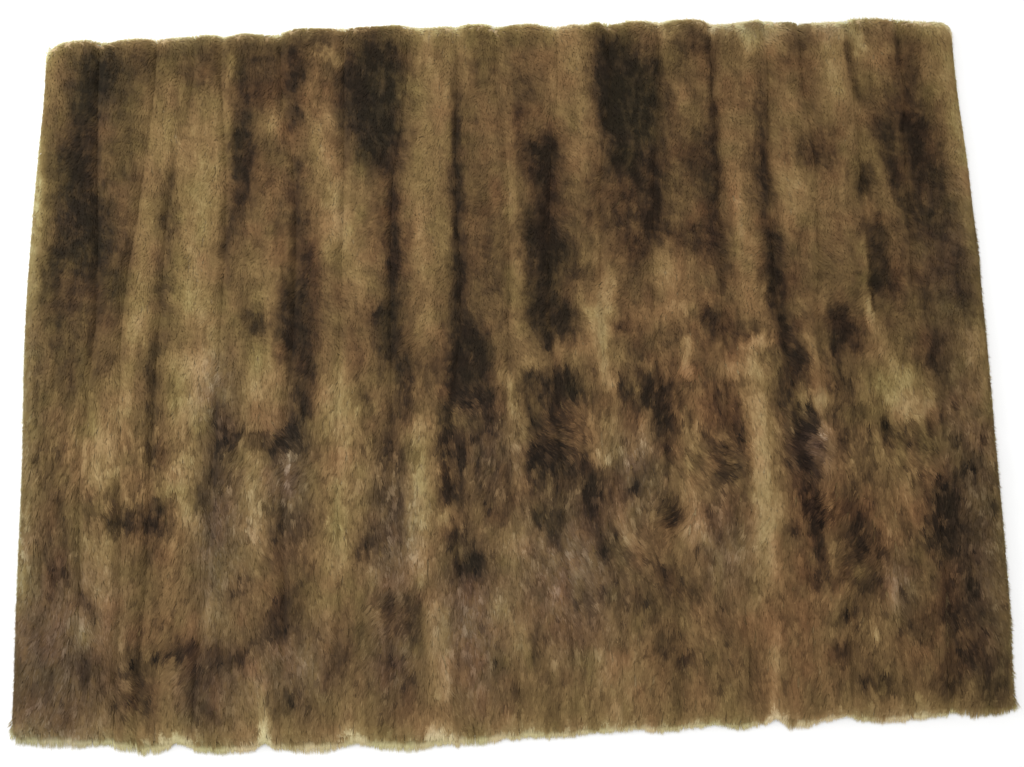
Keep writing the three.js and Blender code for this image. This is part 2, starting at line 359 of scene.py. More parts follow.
# Markings of the fur, partly its own colour and partly painted shade in its hollows and painted light on its
# rises
# and along its edges. Each row is a patch: x, y, half its width, half its length, how much darker or lighter
# it is than the ground, and where it leans, its lean in degrees.

markSet = {
    "ground": 0.385,
    "hemGain": 0.022,  # the ground is this much lighter near the hem
    "topLoss": 0.028,  # and this much darker near the top
    "streak": 0.05,  # long soft streaks down the throw
    "mottle": 0.04,
    "ripple": 0.035,  # painted light and shade of small waves in the short fur
    "curl": 0.22,  # curls inside the dark patches
    "patchFade": 0.7,
    "patchPower": 1.2,
    "patchEnd": 2.4,  # no patch reaches further than this many times its longer half
    "darkest": 0.42,  # the most that patches on each other can darken
    "lightest": 0.55,
    "deepest": 0.03,
    "palest": 0.8,
    "dark": [
        (-330, 748, 110, 12, 0.2), (655, 742, 20, 14, 0.2), (130, 745, 40, 10, 0.12),
        (865, 748, 24, 12, 0.15), (995, 600, 14, 90, 0.08), (-460, -195, 18, 14, 0.12),
        (-690, 200, 24, 30, 0.07), (-140, 505, 30, 30, 0.06), (-400, 375, 26, 24, 0.06),
        (-325, 225, 30, 30, 0.06), (115, 170, 22, 30, 0.07), (235, 180, 24, 20, 0.07),
        (545, 108, 30, 20, 0.07), (620, 60, 16, 26, 0.08), (-108, -118, 16, 24, 0.12),
        (165, -85, 22, 24, 0.08), (230, -112, 20, 20, 0.08), (650, -108, 22, 18, 0.08),
        (850, -65, 34, 34, 0.06), (298, -192, 16, 22, 0.1), (358, -205, 20, 20, 0.07),
        (-235, -440, 26, 26, 0.07), (-392, -545, 26, 26, 0.06), (490, -430, 26, 40, 0.06),
        (-975, 130, 22, 60, 0.06), (425, -35, 26, 24, 0.05), (655, 742, 16, 12, 0.12),
        (740, -140, 24, 24, 0.08), (-70, -660, 16, 30, 0.06), (825, 300, 8, 44, 0.08, 12),
        (-878, 650, 34, 75, 0.34), (-825, 690, 55, 32, 0.16), (-815, 640, 30, 40, 0.1),
        (-886, 540, 22, 80, 0.22), (-905, 430, 40, 110, 0.26), (-893, 345, 22, 30, 0.16),
        (-860, 290, 36, 70, 0.22), (-915, 300, 30, 120, 0.1), (-835, 250, 36, 110, 0.04),
        (-930, 560, 20, 140, 0.08), (-795, 450, 40, 120, 0.07), (-850, 610, 24, 60, 0.14),
        (-740, 620, 26, 40, 0.06), (-713, 405, 14, 45, 0.24), (-714, 315, 17, 24, 0.26),
        (-680, 690, 80, 44, 0.1), (-640, 640, 40, 34, 0.1), (-556, 560, 20, 130, 0.3),
        (-553, 450, 22, 60, 0.3), (-573, 350, 24, 46, 0.28), (-592, 290, 12, 40, 0.24),
        (-520, 640, 30, 60, 0.14), (-445, 640, 22, 75, 0.28), (-448, 560, 15, 40, 0.2),
        (-438, 440, 8, 14, 0.2), (-437, 350, 24, 110, 0.2), (-495, 690, 30, 36, 0.1),
        (-400, 720, 24, 18, 0.14), (-280, 570, 62, 95, 0.5), (-262, 470, 42, 40, 0.4),
        (-280, 690, 66, 50, 0.26), (-330, 600, 24, 50, 0.3), (-238, 340, 12, 70, 0.24),
        (-236, 260, 12, 60, 0.24), (-100, 480, 11, 110, 0.22), (-97, 320, 17, 90, 0.28),
        (-5, 330, 5, 70, 0.1), (-45, 280, 26, 130, 0.08), (-55, 190, 26, 60, 0.08),
        (170, 320, 40, 90, 0.05), (232, 350, 36, 80, 0.1), (-206, 200, 10, 60, 0.14),
        (78, 455, 36, 40, 0.38), (85, 370, 36, 50, 0.24), (72, 280, 34, 50, 0.36), (40, 570, 14, 60, 0.16),
        (262, 560, 50, 90, 0.5), (245, 670, 40, 60, 0.36), (270, 430, 36, 34, 0.3),
        (290, 320, 44, 70, 0.26), (215, 590, 14, 70, 0.2), (325, 640, 26, 30, 0.32),
        (330, 560, 30, 40, 0.16), (420, 715, 36, 36, 0.16), (330, 420, 30, 60, 0.2),
        (420, 430, 26, 70, 0.14), (400, 270, 50, 40, 0.2), (330, 300, 22, 50, 0.2),
        (445, 380, 16, 140, 0.2), (455, 560, 8, 150, 0.16), (563, 580, 20, 60, 0.12),
        (560, 430, 12, 80, 0.2), (557, 320, 18, 80, 0.28), (538, 400, 16, 60, 0.12),
        (650, 716, 28, 32, 0.2), (655, 445, 32, 30, 0.18), (700, 435, 26, 22, 0.1), (800, 500, 24, 30, 0.1),
        (560, 90, 24, 30, 0.1), (950, 180, 44, 110, 0.12), (925, 320, 34, 70, 0.06), (752, 690, 5, 50, 0.2),
        (765, 620, 9, 60, 0.12, 8), (778, 570, 14, 40, 0.06, 10), (775, 380, 24, 34, 0.26),
        (785, 270, 26, 30, 0.26), (836, 400, 14, 70, 0.22, 12), (862, 300, 20, 60, 0.14, 10),
        (880, 700, 32, 50, 0.14), (872, 590, 36, 60, 0.16), (890, 460, 26, 80, 0.34, 4),
        (900, 300, 50, 60, 0.15), (920, 470, 24, 150, 0.12), (826, 500, 30, 50, 0.14),
        (-880, 200, 90, 90, 0.17), (-940, 190, 22, 80, 0.06), (-880, 60, 80, 70, 0.09),
        (-920, -40, 40, 60, 0.08), (-722, 190, 18, 50, 0.1), (-738, -40, 18, 80, 0.2),
        (-725, 60, 18, 30, 0.06), (-727, -165, 18, 20, 0.2), (-930, -620, 80, 90, 0.1),
        (-930, -280, 50, 110, 0.06), (-600, -90, 16, 30, 0.3), (-580, -150, 26, 40, 0.22),
        (-600, -210, 24, 40, 0.26), (-535, 110, 14, 24, 0.16, 35), (-515, 92, 16, 16, 0.16),
        (-440, 120, 36, 60, 0.26), (-430, 50, 34, 40, 0.3), (-415, 215, 24, 50, 0.28),
        (-465, 150, 16, 60, 0.08), (-410, 0, 16, 24, 0.26), (-435, -40, 26, 30, 0.2),
        (-458, -135, 20, 62, 0.46, -42), (-484, -165, 24, 20, 0.14), (-530, -145, 34, 16, 0.2),
        (-415, -165, 26, 24, 0.12), (-435, -218, 10, 18, 0.18), (-240, 85, 24, 46, 0.46),
        (-238, 190, 14, 70, 0.34), (-275, 115, 22, 16, 0.24), (-225, 20, 22, 30, 0.24),
        (-185, -5, 60, 30, 0.1), (-213, -70, 12, 50, 0.16), (-98, 190, 14, 80, 0.32),
        (-85, 75, 26, 40, 0.46), (-60, 50, 24, 30, 0.3), (-100, 0, 22, 46, 0.46), (-92, -60, 22, 34, 0.44),
        (-50, -75, 24, 24, 0.3), (-55, 0, 26, 40, 0.26), (-20, 165, 12, 24, 0.14), (90, 200, 24, 60, 0.46),
        (60, 170, 22, 60, 0.24), (85, 100, 34, 30, 0.34), (85, 50, 12, 18, 0.34), (125, 80, 20, 40, 0.26),
        (125, 240, 18, 30, 0.3), (100, -50, 44, 26, 0.26), (40, -30, 14, 20, 0.2), (70, -120, 34, 34, 0.32),
        (60, -195, 30, 26, 0.4), (120, -200, 24, 22, 0.28), (165, 190, 24, 14, 0.12),
        (240, 80, 14, 14, 0.3), (260, 150, 24, 30, 0.14), (275, 230, 20, 40, 0.26), (240, -60, 10, 24, 0.3),
        (275, 30, 20, 24, 0.24), (290, -60, 22, 40, 0.24), (322, -125, 20, 65, 0.34),
        (140, -240, 60, 30, 0.14), (90, -60, 50, 40, 0.12), (90, -140, 46, 50, 0.18),
        (115, -260, 56, 60, 0.14), (80, -210, 36, 40, 0.14), (90, -330, 26, 50, 0.14),
        (185, -330, 34, 60, 0.1), (300, -80, 40, 60, 0.16), (255, -60, 22, 50, 0.1),
        (-225, -230, 14, 110, 0.14), (260, -440, 90, 70, 0.04), (300, -520, 60, 80, 0.03),
        (150, -540, 60, 60, 0.04), (-60, -240, 50, 90, 0.06), (200, -230, 60, 24, 0.08),
        (-315, -20, 12, 14, 0.14), (-300, -70, 14, 20, 0.24), (-245, -120, 14, 70, 0.16),
        (-130, -170, 20, 70, 0.36), (-100, -185, 6, 56, 0.32), (-50, -190, 34, 70, 0.08),
        (430, 80, 16, 34, 0.3, 20), (460, 150, 18, 60, 0.22), (450, 240, 20, 30, 0.14),
        (566, 150, 20, 60, 0.46), (565, 240, 16, 30, 0.3), (580, 45, 22, 34, 0.36), (600, 0, 18, 24, 0.36),
        (590, -40, 20, 24, 0.3), (560, -30, 20, 30, 0.2), (565, -85, 20, 30, 0.28), (500, 62, 40, 12, 0.18),
        (470, -130, 20, 50, 0.14), (425, -90, 26, 30, 0.1), (440, -232, 30, 16, 0.18),
        (590, -170, 30, 44, 0.36), (620, -130, 16, 30, 0.3), (600, -220, 26, 20, 0.26),
        (695, 60, 24, 50, 0.34), (725, 50, 22, 34, 0.2), (680, -10, 22, 30, 0.1), (700, -60, 16, 30, 0.2),
        (785, 180, 20, 60, 0.34), (815, 150, 24, 30, 0.1), (900, 170, 60, 60, 0.14),
        (890, 10, 34, 50, 0.28), (775, -150, 10, 30, 0.3, -8), (850, -170, 50, 26, 0.08),
        (715, -110, 14, 24, 0.12), (950, -240, 30, 24, 0.14), (-900, -410, 20, 26, 0.18),
        (-930, -380, 20, 60, 0.06), (-850, -475, 12, 30, 0.2, 38), (-795, -300, 26, 22, 0.26),
        (-730, -315, 30, 26, 0.3), (-762, -310, 20, 16, 0.2), (-710, -272, 24, 14, 0.2),
        (-620, -265, 24, 16, 0.2), (-720, -375, 20, 24, 0.1), (-545, -450, 20, 10, 0.26, 30),
        (-440, -310, 20, 24, 0.14), (-470, -330, 12, 30, 0.14), (-440, -390, 40, 60, 0.1),
        (-455, -500, 28, 36, 0.24), (-480, -535, 26, 22, 0.14), (-445, -462, 14, 20, 0.14),
        (-540, -572, 44, 12, 0.2, 30), (-690, -582, 36, 10, 0.26, 8), (-650, -560, 24, 16, 0.26),
        (-625, -620, 24, 50, 0.16), (-640, -650, 16, 24, 0.1), (-757, -575, 14, 22, 0.34),
        (-768, -622, 24, 30, 0.26), (-735, -640, 24, 34, 0.18), (-755, -665, 30, 10, 0.2),
        (-852, -592, 20, 26, 0.14), (-585, -590, 34, 36, 0.16), (-600, -700, 30, 20, 0.14),
        (-620, -680, 30, 16, 0.14), (-435, -665, 34, 18, 0.24), (-350, -590, 30, 40, 0.06),
        (-372, -640, 8, 24, 0.16, -20), (-295, -370, 16, 44, 0.26, -38), (-270, -270, 14, 24, 0.2),
        (-230, -290, 12, 50, 0.14), (-128, -265, 16, 22, 0.4), (-115, -350, 18, 20, 0.24),
        (-84, -412, 28, 38, 0.5), (-5, -290, 8, 20, 0.14), (70, -312, 22, 26, 0.4),
        (85, -360, 12, 24, 0.24, 15), (60, -405, 8, 60, 0.14, 28), (180, -370, 10, 50, 0.22, 18),
        (165, -280, 16, 40, 0.24), (242, -270, 24, 16, 0.24), (330, -305, 30, 28, 0.34),
        (310, -430, 14, 20, 0.2), (185, -470, 16, 10, 0.24), (240, -490, 24, 16, 0.16),
        (150, -480, 12, 30, 0.14, 10), (-192, -535, 14, 22, 0.22), (-200, -480, 14, 34, 0.26),
        (-250, -480, 18, 16, 0.26, -30), (-230, -540, 30, 40, 0.12), (-235, -600, 26, 20, 0.16),
        (-325, -565, 20, 30, 0.1), (45, -560, 10, 30, 0.2), (-25, -610, 16, 18, 0.12),
        (0, -680, 14, 14, 0.1), (300, -570, 20, 22, 0.24), (340, -612, 24, 24, 0.3),
        (-210, -650, 20, 40, 0.16), (380, -385, 16, 8, 0.2), (412, -335, 10, 50, 0.18, 18),
        (612, -290, 20, 50, 0.36, 8), (625, -370, 16, 50, 0.36, 8), (600, -380, 24, 20, 0.08),
        (570, -355, 26, 12, 0.1), (707, -375, 26, 42, 0.48), (690, -290, 16, 30, 0.2),
        (742, -400, 24, 16, 0.3), (720, -465, 34, 18, 0.3), (660, -450, 20, 14, 0.2),
        (615, -450, 14, 16, 0.2), (680, -520, 18, 18, 0.34), (655, -590, 22, 12, 0.22),
        (712, -658, 34, 15, 0.26, -18), (885, -300, 30, 50, 0.36), (950, -340, 50, 150, 0.12),
        (950, -590, 44, 100, 0.08), (860, -560, 40, 70, 0.08), (930, -150, 50, 60, 0.05),
        (865, -380, 20, 30, 0.26), (900, -380, 30, 60, 0.18), (825, -400, 30, 60, 0.1),
        (900, -500, 44, 60, 0.22), (930, -480, 12, 24, 0.24), (890, -540, 24, 24, 0.2),
        (900, -620, 34, 40, 0.24), (865, -665, 26, 30, 0.3), (970, -670, 30, 44, 0.2),
        (800, -520, 34, 40, 0.08), (350, -465, 30, 26, 0.2), (430, -560, 8, 40, 0.12, 15),
        (480, -660, 26, 50, 0.12), (-225, -50, 20, 60, 0.1), (-45, -100, 30, 40, 0.14),
        (-5, -135, 26, 26, 0.08), (150, 200, 24, 24, 0.12), (430, -40, 24, 30, 0.12),
        (250, -255, 24, 24, 0.12), (420, -190, 40, 50, 0.12), (-560, -465, 30, 30, 0.08),
        (50, -460, 24, 40, 0.06), (-395, 670, 24, 30, 0.08), (455, 650, 20, 50, 0.08),
        (75, 600, 30, 50, 0.08), (690, 420, 20, 20, 0.06), (-205, -180, 8, 50, 0.1),
    ],
    "light": [
        (-728, 500, 34, 95, 0.22, 8), (-758, 330, 22, 100, 0.26, 4), (-690, 580, 24, 40, 0.06),
        (-640, 430, 52, 170, 0.24), (-650, 290, 44, 60, 0.1), (-600, 380, 20, 60, 0.14),
        (-610, 560, 22, 60, 0.12), (-587, 660, 10, 26, 0.22, -10), (-850, 455, 22, 30, 0.06),
        (-498, 537, 34, 24, 0.26, -20), (-518, 335, 24, 40, 0.08), (-390, 500, 34, 100, 0.2, 5),
        (-375, 330, 36, 110, 0.14), (-370, 290, 20, 50, 0.08), (-385, 695, 20, 10, 0.26, 10),
        (-355, 682, 18, 9, 0.3), (-325, 340, 36, 90, 0.18), (-160, 560, 46, 170, 0.22),
        (-160, 290, 44, 100, 0.12), (-100, 700, 26, 40, 0.2), (-40, 480, 36, 190, 0.05),
        (15, 460, 9, 120, 0.16, 2), (18, 330, 11, 60, 0.12), (140, 640, 50, 110, 0.24),
        (180, 510, 20, 100, 0.12, -5), (150, 430, 20, 50, 0.05), (195, 270, 8, 40, 0.22),
        (225, 475, 14, 20, 0.12, 30), (390, 575, 14, 60, 0.14, 30), (360, 380, 12, 50, 0.08),
        (505, 560, 34, 110, 0.1), (490, 440, 26, 90, 0.08), (495, 330, 11, 70, 0.2),
        (538, 700, 16, 50, 0.2), (590, 700, 18, 40, 0.1), (600, 585, 34, 40, 0.08), (625, 535, 24, 30, 0.1),
        (600, 370, 40, 80, 0.2), (680, 350, 40, 80, 0.1), (720, 640, 30, 90, 0.3),
        (735, 550, 26, 50, 0.08, 20), (785, 690, 14, 44, 0.2, 25), (735, 430, 26, 60, 0.14),
        (775, 322, 14, 14, 0.16), (805, 390, 9, 70, 0.18, 14), (808, 300, 8, 50, 0.12, 12),
        (805, 650, 36, 50, 0.14, 20), (948, 640, 34, 110, 0.24), (978, 470, 20, 110, 0.16),
        (930, 722, 50, 16, 0.16), (470, 735, 26, 12, 0.2), (545, 715, 26, 24, 0.12),
        (715, 725, 40, 14, 0.12), (-150, 735, 44, 10, 0.2), (985, 300, 12, 110, 0.1),
        (-768, 170, 20, 80, 0.22), (-770, 90, 26, 34, 0.26), (-788, 10, 26, 60, 0.2),
        (-790, -80, 34, 50, 0.14), (-838, -145, 42, 50, 0.4), (-840, -215, 40, 28, 0.3),
        (-665, 160, 26, 70, 0.34), (-662, 12, 38, 34, 0.36), (-612, 60, 24, 50, 0.2),
        (-620, 5, 22, 30, 0.18), (-600, 140, 40, 80, 0.12), (-655, -75, 40, 50, 0.3),
        (-690, -100, 16, 30, 0.1), (-650, -175, 24, 34, 0.26), (-675, -225, 26, 30, 0.34),
        (-505, 185, 30, 70, 0.16), (-490, 150, 16, 40, 0.12), (-508, -25, 34, 60, 0.34),
        (-515, -90, 30, 34, 0.14), (-520, 50, 30, 30, 0.12), (-360, 60, 34, 40, 0.1),
        (-350, -80, 36, 50, 0.34), (-345, -25, 20, 30, 0.2), (-345, -150, 24, 40, 0.14),
        (-350, -215, 26, 40, 0.2), (-410, -115, 24, 16, 0.14), (-455, -190, 9, 30, 0.26, 35),
        (-515, -208, 28, 40, 0.3), (-320, 200, 30, 70, 0.2), (-170, 180, 38, 80, 0.1),
        (-172, 75, 28, 30, 0.16), (-45, 130, 20, 30, 0.1), (-30, 90, 16, 20, 0.1), (22, 190, 12, 60, 0.22),
        (20, 60, 14, 30, 0.12), (0, -25, 16, 14, 0.26), (4, -80, 7, 40, 0.26), (20, -150, 13, 60, 0.24),
        (45, 5, 26, 9, 0.2), (110, 30, 9, 16, 0.28), (60, 40, 16, 20, 0.1), (180, 85, 20, 50, 0.3, 20),
        (207, 115, 26, 50, 0.28, -8), (200, 20, 9, 60, 0.34), (160, 20, 30, 26, 0.24),
        (215, 165, 18, 40, 0.24), (190, 222, 24, 22, 0.12), (240, 10, 20, 24, 0.14),
        (330, 195, 24, 44, 0.24), (322, 100, 30, 20, 0.2), (292, -5, 7, 14, 0.32, -20),
        (215, -45, 12, 14, 0.3, -30), (262, -55, 8, 14, 0.22, 20), (210, -150, 46, 46, 0.12),
        (190, -195, 30, 10, 0.24), (280, -150, 14, 40, 0.16), (145, -95, 12, 14, 0.12),
        (-183, -130, 30, 34, 0.26), (-180, -220, 26, 54, 0.3), (-335, -130, 30, 40, 0.16),
        (-300, -220, 24, 40, 0.14), (370, 110, 26, 14, 0.26), (350, 220, 30, 50, 0.12),
        (400, 180, 24, 40, 0.06), (375, 30, 12, 26, 0.38), (375, -15, 12, 20, 0.3), (510, 190, 26, 80, 0.2),
        (520, 32, 34, 13, 0.42, 28), (500, -20, 44, 18, 0.36), (460, -10, 16, 14, 0.06),
        (515, -130, 16, 60, 0.42), (512, -225, 14, 40, 0.48), (543, -200, 20, 50, 0.14),
        (490, -90, 20, 24, 0.14), (385, -150, 12, 30, 0.2), (395, -80, 14, 24, 0.12),
        (395, -220, 22, 24, 0.14), (616, -180, 8, 8, 0.26), (612, -80, 12, 20, 0.26, -30),
        (648, -80, 11, 22, 0.48), (650, -145, 12, 18, 0.3), (637, 25, 8, 30, 0.3, 15),
        (620, 110, 14, 20, 0.14), (665, 120, 16, 20, 0.1), (765, 80, 9, 40, 0.36, 8),
        (758, 200, 8, 60, 0.16), (785, 20, 14, 24, 0.14), (970, 20, 26, 40, 0.2), (808, -58, 36, 38, 0.46),
        (828, -112, 40, 24, 0.44), (740, -70, 20, 24, 0.16), (660, -212, 16, 30, 0.14),
        (-825, -380, 26, 60, 0.22), (-820, -470, 16, 20, 0.2), (-775, -268, 26, 11, 0.1),
        (-657, -290, 18, 40, 0.32, 15), (-685, -390, 14, 50, 0.16, -8), (-680, -470, 18, 24, 0.12),
        (-520, -295, 20, 50, 0.26), (-508, -365, 14, 24, 0.1), (-605, -500, 26, 34, 0.1),
        (-345, -310, 30, 60, 0.34), (-360, -395, 30, 40, 0.28), (-370, -490, 40, 44, 0.1),
        (-430, -580, 30, 16, 0.08), (-680, -620, 20, 30, 0.08), (-770, -628, 8, 8, 0.2),
        (-830, -530, 40, 36, 0.14), (-500, -640, 34, 60, 0.08), (-500, -680, 8, 40, 0.2),
        (-815, -690, 10, 20, 0.14), (-280, -430, 12, 24, 0.14, 20), (-180, -300, 22, 80, 0.24),
        (-186, -400, 24, 40, 0.22), (-130, -317, 22, 14, 0.18), (10, -370, 40, 40, 0.14),
        (85, -470, 10, 50, 0.14, 22), (125, -410, 10, 30, 0.14, 10), (225, -342, 12, 38, 0.32, 28),
        (290, -312, 12, 12, 0.24), (-150, -560, 26, 100, 0.22), (-20, -500, 13, 40, 0.14, 10),
        (12, -550, 18, 60, 0.2, 5), (200, -620, 40, 90, 0.2), (-320, -670, 34, 30, 0.08),
        (-140, -660, 16, 40, 0.14), (372, -300, 18, 60, 0.3), (365, -345, 22, 20, 0.12),
        (515, -300, 18, 60, 0.5), (545, -310, 20, 50, 0.14), (515, -385, 22, 60, 0.3),
        (520, -560, 20, 150, 0.15), (515, -680, 12, 40, 0.2), (480, -400, 20, 50, 0.1),
        (645, -400, 8, 40, 0.2, 8), (760, -350, 26, 30, 0.08), (770, -480, 13, 40, 0.32, -5),
        (650, -500, 24, 18, 0.12), (660, -560, 26, 13, 0.12), (722, -557, 16, 7, 0.32, -40),
        (805, -280, 18, 40, 0.18), (365, -430, 20, 22, 0.08), (360, -550, 24, 30, 0.1),
        (-500, -15, 26, 40, 0.1), (-335, 0, 20, 24, 0.12), (350, 150, 30, 30, 0.1),
        (520, 120, 30, 50, 0.08), (-790, 160, 16, 50, 0.08), (-650, 140, 20, 30, 0.08),
        (-738, 110, 24, 30, 0.08), (-990, 290, 14, 150, 0.36), (620, 735, 24, 10, 0.16),
        (500, 735, 40, 10, 0.12), (-300, -130, 16, 20, 0.08), (955, -120, 30, 80, 0.07),
        (-985, -420, 16, 100, 0.08), (480, 725, 40, 16, 0.16), (800, 560, 50, 40, 0.06),
        (190, 410, 20, 50, 0.06), (-800, 270, 16, 60, 0.06), (-565, 400, 30, 60, 0.05),
        (-430, 240, 40, 40, 0.04), (-740, 90, 30, 40, 0.05), (-495, -725, 14, 24, 0.2),
        (-325, -730, 26, 20, 0.25), (-155, -730, 24, 24, 0.25), (-5, -725, 16, 20, 0.1),
        (-655, -735, 50, 14, 0.14), (375, 728, 22, 16, 0.3), (550, 720, 40, 24, 0.14),
        (620, 715, 30, 24, 0.1), (760, 705, 50, 30, 0.12), (840, 700, 30, 30, 0.1),
        (560, 712, 60, 22, 0.06), (-565, -735, 14, 16, 0.1), (-975, -715, 30, 25, 0.1),
        (570, 645, 36, 40, 0.06), (770, 580, 24, 30, 0.07), (870, 585, 30, 30, 0.06),
        (462, 650, 12, 60, 0.08), (965, 640, 22, 70, 0.06), (-975, 650, 26, 80, 0.06),
        (-545, 670, 40, 60, 0.07), (-880, 500, 12, 120, 0.06), (-740, -160, 22, 30, 0.08),
        (-620, -40, 34, 30, 0.07), (-790, 0, 30, 24, 0.05), (-505, -195, 14, 16, 0.1),
        (-350, -285, 24, 18, 0.07), (58, 155, 18, 26, 0.08), (385, 150, 24, 34, 0.06),
        (40, -58, 16, 20, 0.08), (112, -245, 18, 26, 0.09), (310, -263, 50, 16, 0.08),
        (595, -232, 26, 22, 0.07), (555, -410, 16, 30, 0.08), (-240, -605, 30, 34, 0.06),
        (-735, 430, 14, 24, 0.07), (-720, 340, 14, 20, 0.07), (-455, 225, 30, 24, 0.05),
        (300, 300, 26, 50, 0.05), (-150, 430, 30, 16, 0.05), (-985, -360, 14, 60, 0.08),
        (850, 330, 20, 40, 0.05), (740, -150, 20, 20, 0.04), (-965, -722, 30, 18, 0.1),
        (-720, -735, 40, 18, 0.12), (-345, -735, 26, 18, 0.08), (-150, -738, 60, 18, 0.12),
        (5, -728, 20, 18, 0.1), (545, -722, 20, 18, 0.14), (750, -714, 100, 16, 0.1),
        (-465, -728, 30, 18, 0.06), (440, -722, 30, 16, 0.08), (-785, 668, 26, 30, 0.07),
        (-70, -378, 22, 16, 0.1), (516, -240, 9, 150, 0.08), (440, 140, 30, 30, 0.05),
    ],
    "warm": [  # redder or more olive: x, y, across, along, amount
        (-650, 60, 160, 200, -0.3), (-900, 300, 110, 420, -0.2), (-700, -200, 160, 120, -0.12),
        (80, 600, 80, 120, 0.25), (-430, 400, 60, 160, 0.2), (380, -60, 160, 180, 0.25),
        (640, -330, 160, 160, 0.3), (380, 250, 160, 100, 0.2), (-250, -660, 140, 60, 0.15),
        (600, -560, 180, 120, 0.2), (-480, 650, 60, 60, 0.2), (800, -60, 70, 80, -0.3),
        (520, -230, 30, 180, -0.1), (-345, -320, 50, 110, -0.2), (-185, -300, 40, 120, -0.15),
        (-280, 580, 64, 120, -0.5), (268, 570, 60, 110, -0.5), (-870, 620, 44, 70, -0.4),
        (-975, 350, 40, 330, -0.2), (-690, 450, 120, 200, -0.12),
        (95, 200, 32, 50, -0.35), (-650, 420, 60, 160, -0.12), (-160, 400, 60, 300, -0.15),
    ],
    "paintedSheen": [  # painted grey sheen on the long guard hair: x, y, across, along, share
        (120, -420, 110, 160, 0.6), (-90, -490, 60, 110, 0.6), (-450, -230, 40, 120, 0.7),
        (-580, -330, 60, 160, 0.4), (-600, -60, 40, 90, 0.5), (-240, -350, 50, 150, 0.6),
        (-440, -600, 90, 90, 0.5), (-920, -600, 120, 210, 0.75), (620, -180, 40, 60, 0.7),
        (780, -470, 30, 60, 0.5), (260, -230, 50, 80, 0.6), (-40, -180, 60, 90, 0.4),
        (930, -300, 60, 300, 0.3), (430, -380, 60, 100, 0.4), (-610, -640, 60, 90, 0.5),
        (-240, -600, 50, 80, 0.5), (-70, -620, 60, 90, 0.3), (-605, -350, 26, 160, 0.4),
        (-280, 570, 60, 110, 0.4), (270, 570, 60, 110, 0.3), (-870, 620, 40, 70, 0.4),
        (-1000, -100, 40, 400, 0.3), (940, 220, 70, 170, 0.35), (970, -420, 40, 260, 0.3),
        (590, 735, 240, 32, 0.3), (-650, 735, 340, 22, 0.25),
    ],
}


def patchSum(x, y, patches):
    # all patches of one kind together, each with a soft edge
    total = np.zeros(x.shape)
    for patchX, patchY, across, along, depth, *lean in patches:
        far = markSet["patchEnd"] * max(across, along)
        near = (np.abs(x - patchX) < far) & (np.abs(y - patchY) < far)
        turn = math.radians(sum(lean))  # 0 where none is given
        dx = x[near] - patchX
        dy = y[near] - patchY
        u = (dx * math.cos(turn) + dy * math.sin(turn)) / across
        v = (dy * math.cos(turn) - dx * math.sin(turn)) / along
        total[near] += depth * np.exp(-markSet["patchFade"] * (u**2 + v**2) ** markSet["patchPower"])
    return total


def toneAt(x, y):
    # from 0, nearly black, to 1, pale tan
    warpX = x + 2 * cloud(x, y, 45, 60, 11) + 5 * cloud(x, y, 12, 22, 12)
    warpY = y + 3 * cloud(x, y, 40, 80, 13) + 15 * cloud(x, y, 9, 22, 14)
    tone = markSet["ground"] + 0.03 * cloud(x, y, 60, 240, 15)
    tone += markSet["streak"] * cloud(warpX, y, 20, 90, 16)
    tone += markSet["hemGain"] * smooth(-y, 250, 450) - markSet["topLoss"] * smooth(y, 200, 450)
    tone += markSet["mottle"] * cloud(warpX, warpY, 24, 34, 17) + markSet["mottle"] * cloud(x, y, 9, 26, 18)
    # painted shade in the hollows between tufts and light on their tops, after the same lumps as the fur's
    # height
    tone += (0.03 + 0.05 * lowHalf(y)) * calmAt(x, y) * unevenness(x, y)
    # painted light and shade: the short fur lies in small waves across the nap
    waveX = x + 8 * cloud(x, y, 30, 30, 81)
    waveY = y + 0.3 * x + 6 * cloud(x, y, 26, 26, 82)
    tone += markSet["ripple"] * (1 - lowHalf(y)) * np.tanh(cloud(waveX, waveY, 24, 8, 83) / 0.35)
    dark = patchSum(warpX, warpY, markSet["dark"])
    tone += markSet["curl"] * np.clip(dark, 0, 0.4) * cloud(warpX, warpY, 13, 20, 84)
    light = patchSum(warpX, warpY, markSet["light"])
    lighter = markSet["lightest"] * np.tanh(light / markSet["lightest"])
    darker = markSet["darkest"] * np.tanh(dark / markSet["darkest"])
    return tone + lighter - darker


def alongNap(x, y, turn, wide, reach, seed):
    # soft noise drawn out along the way that the fur lies
    total = np.zeros(x.shape)
    for step in np.linspace(-reach, reach, lockSet["steps"]):
        total += cloud(x + step * np.sin(turn), y - step * np.cos(turn), wide, wide, seed)
    return total / lockSet["steps"]


def lockTone(x, y, turn):
    # fine lines of hair everywhere, and in the lower half locks with a painted highlight on one side and
    # painted shade in the crevice
    low = lowHalf(y)
    lines = alongNap(x, y, turn, lockSet["lineWide"], lockSet["lineReach"], 25)
    lines = calmAt(x, y) * lockSet["line"] * lines
    bank = alongNap(x, y, turn, lockSet["wide"], lockSet["reach"], 26)
    finer = lockSet["small"]
    small = alongNap(x, y, turn, finer * lockSet["wide"], finer * lockSet["reach"], 29)
    lit = np.tanh(bank / lockSet["edge"]) + finer * np.tanh(small / lockSet["edge"])
    crevice = np.exp(-(bank / lockSet["crevice"]) ** 2)
    share = 0.35 + 0.2 * low + lockSet["middleShare"] * spot(x, y, *lockSet["middle"])
    return lines + share * calmAt(x, y) * (lockSet["lit"] * lit + lockSet["deep"] * (0.3 - crevice))


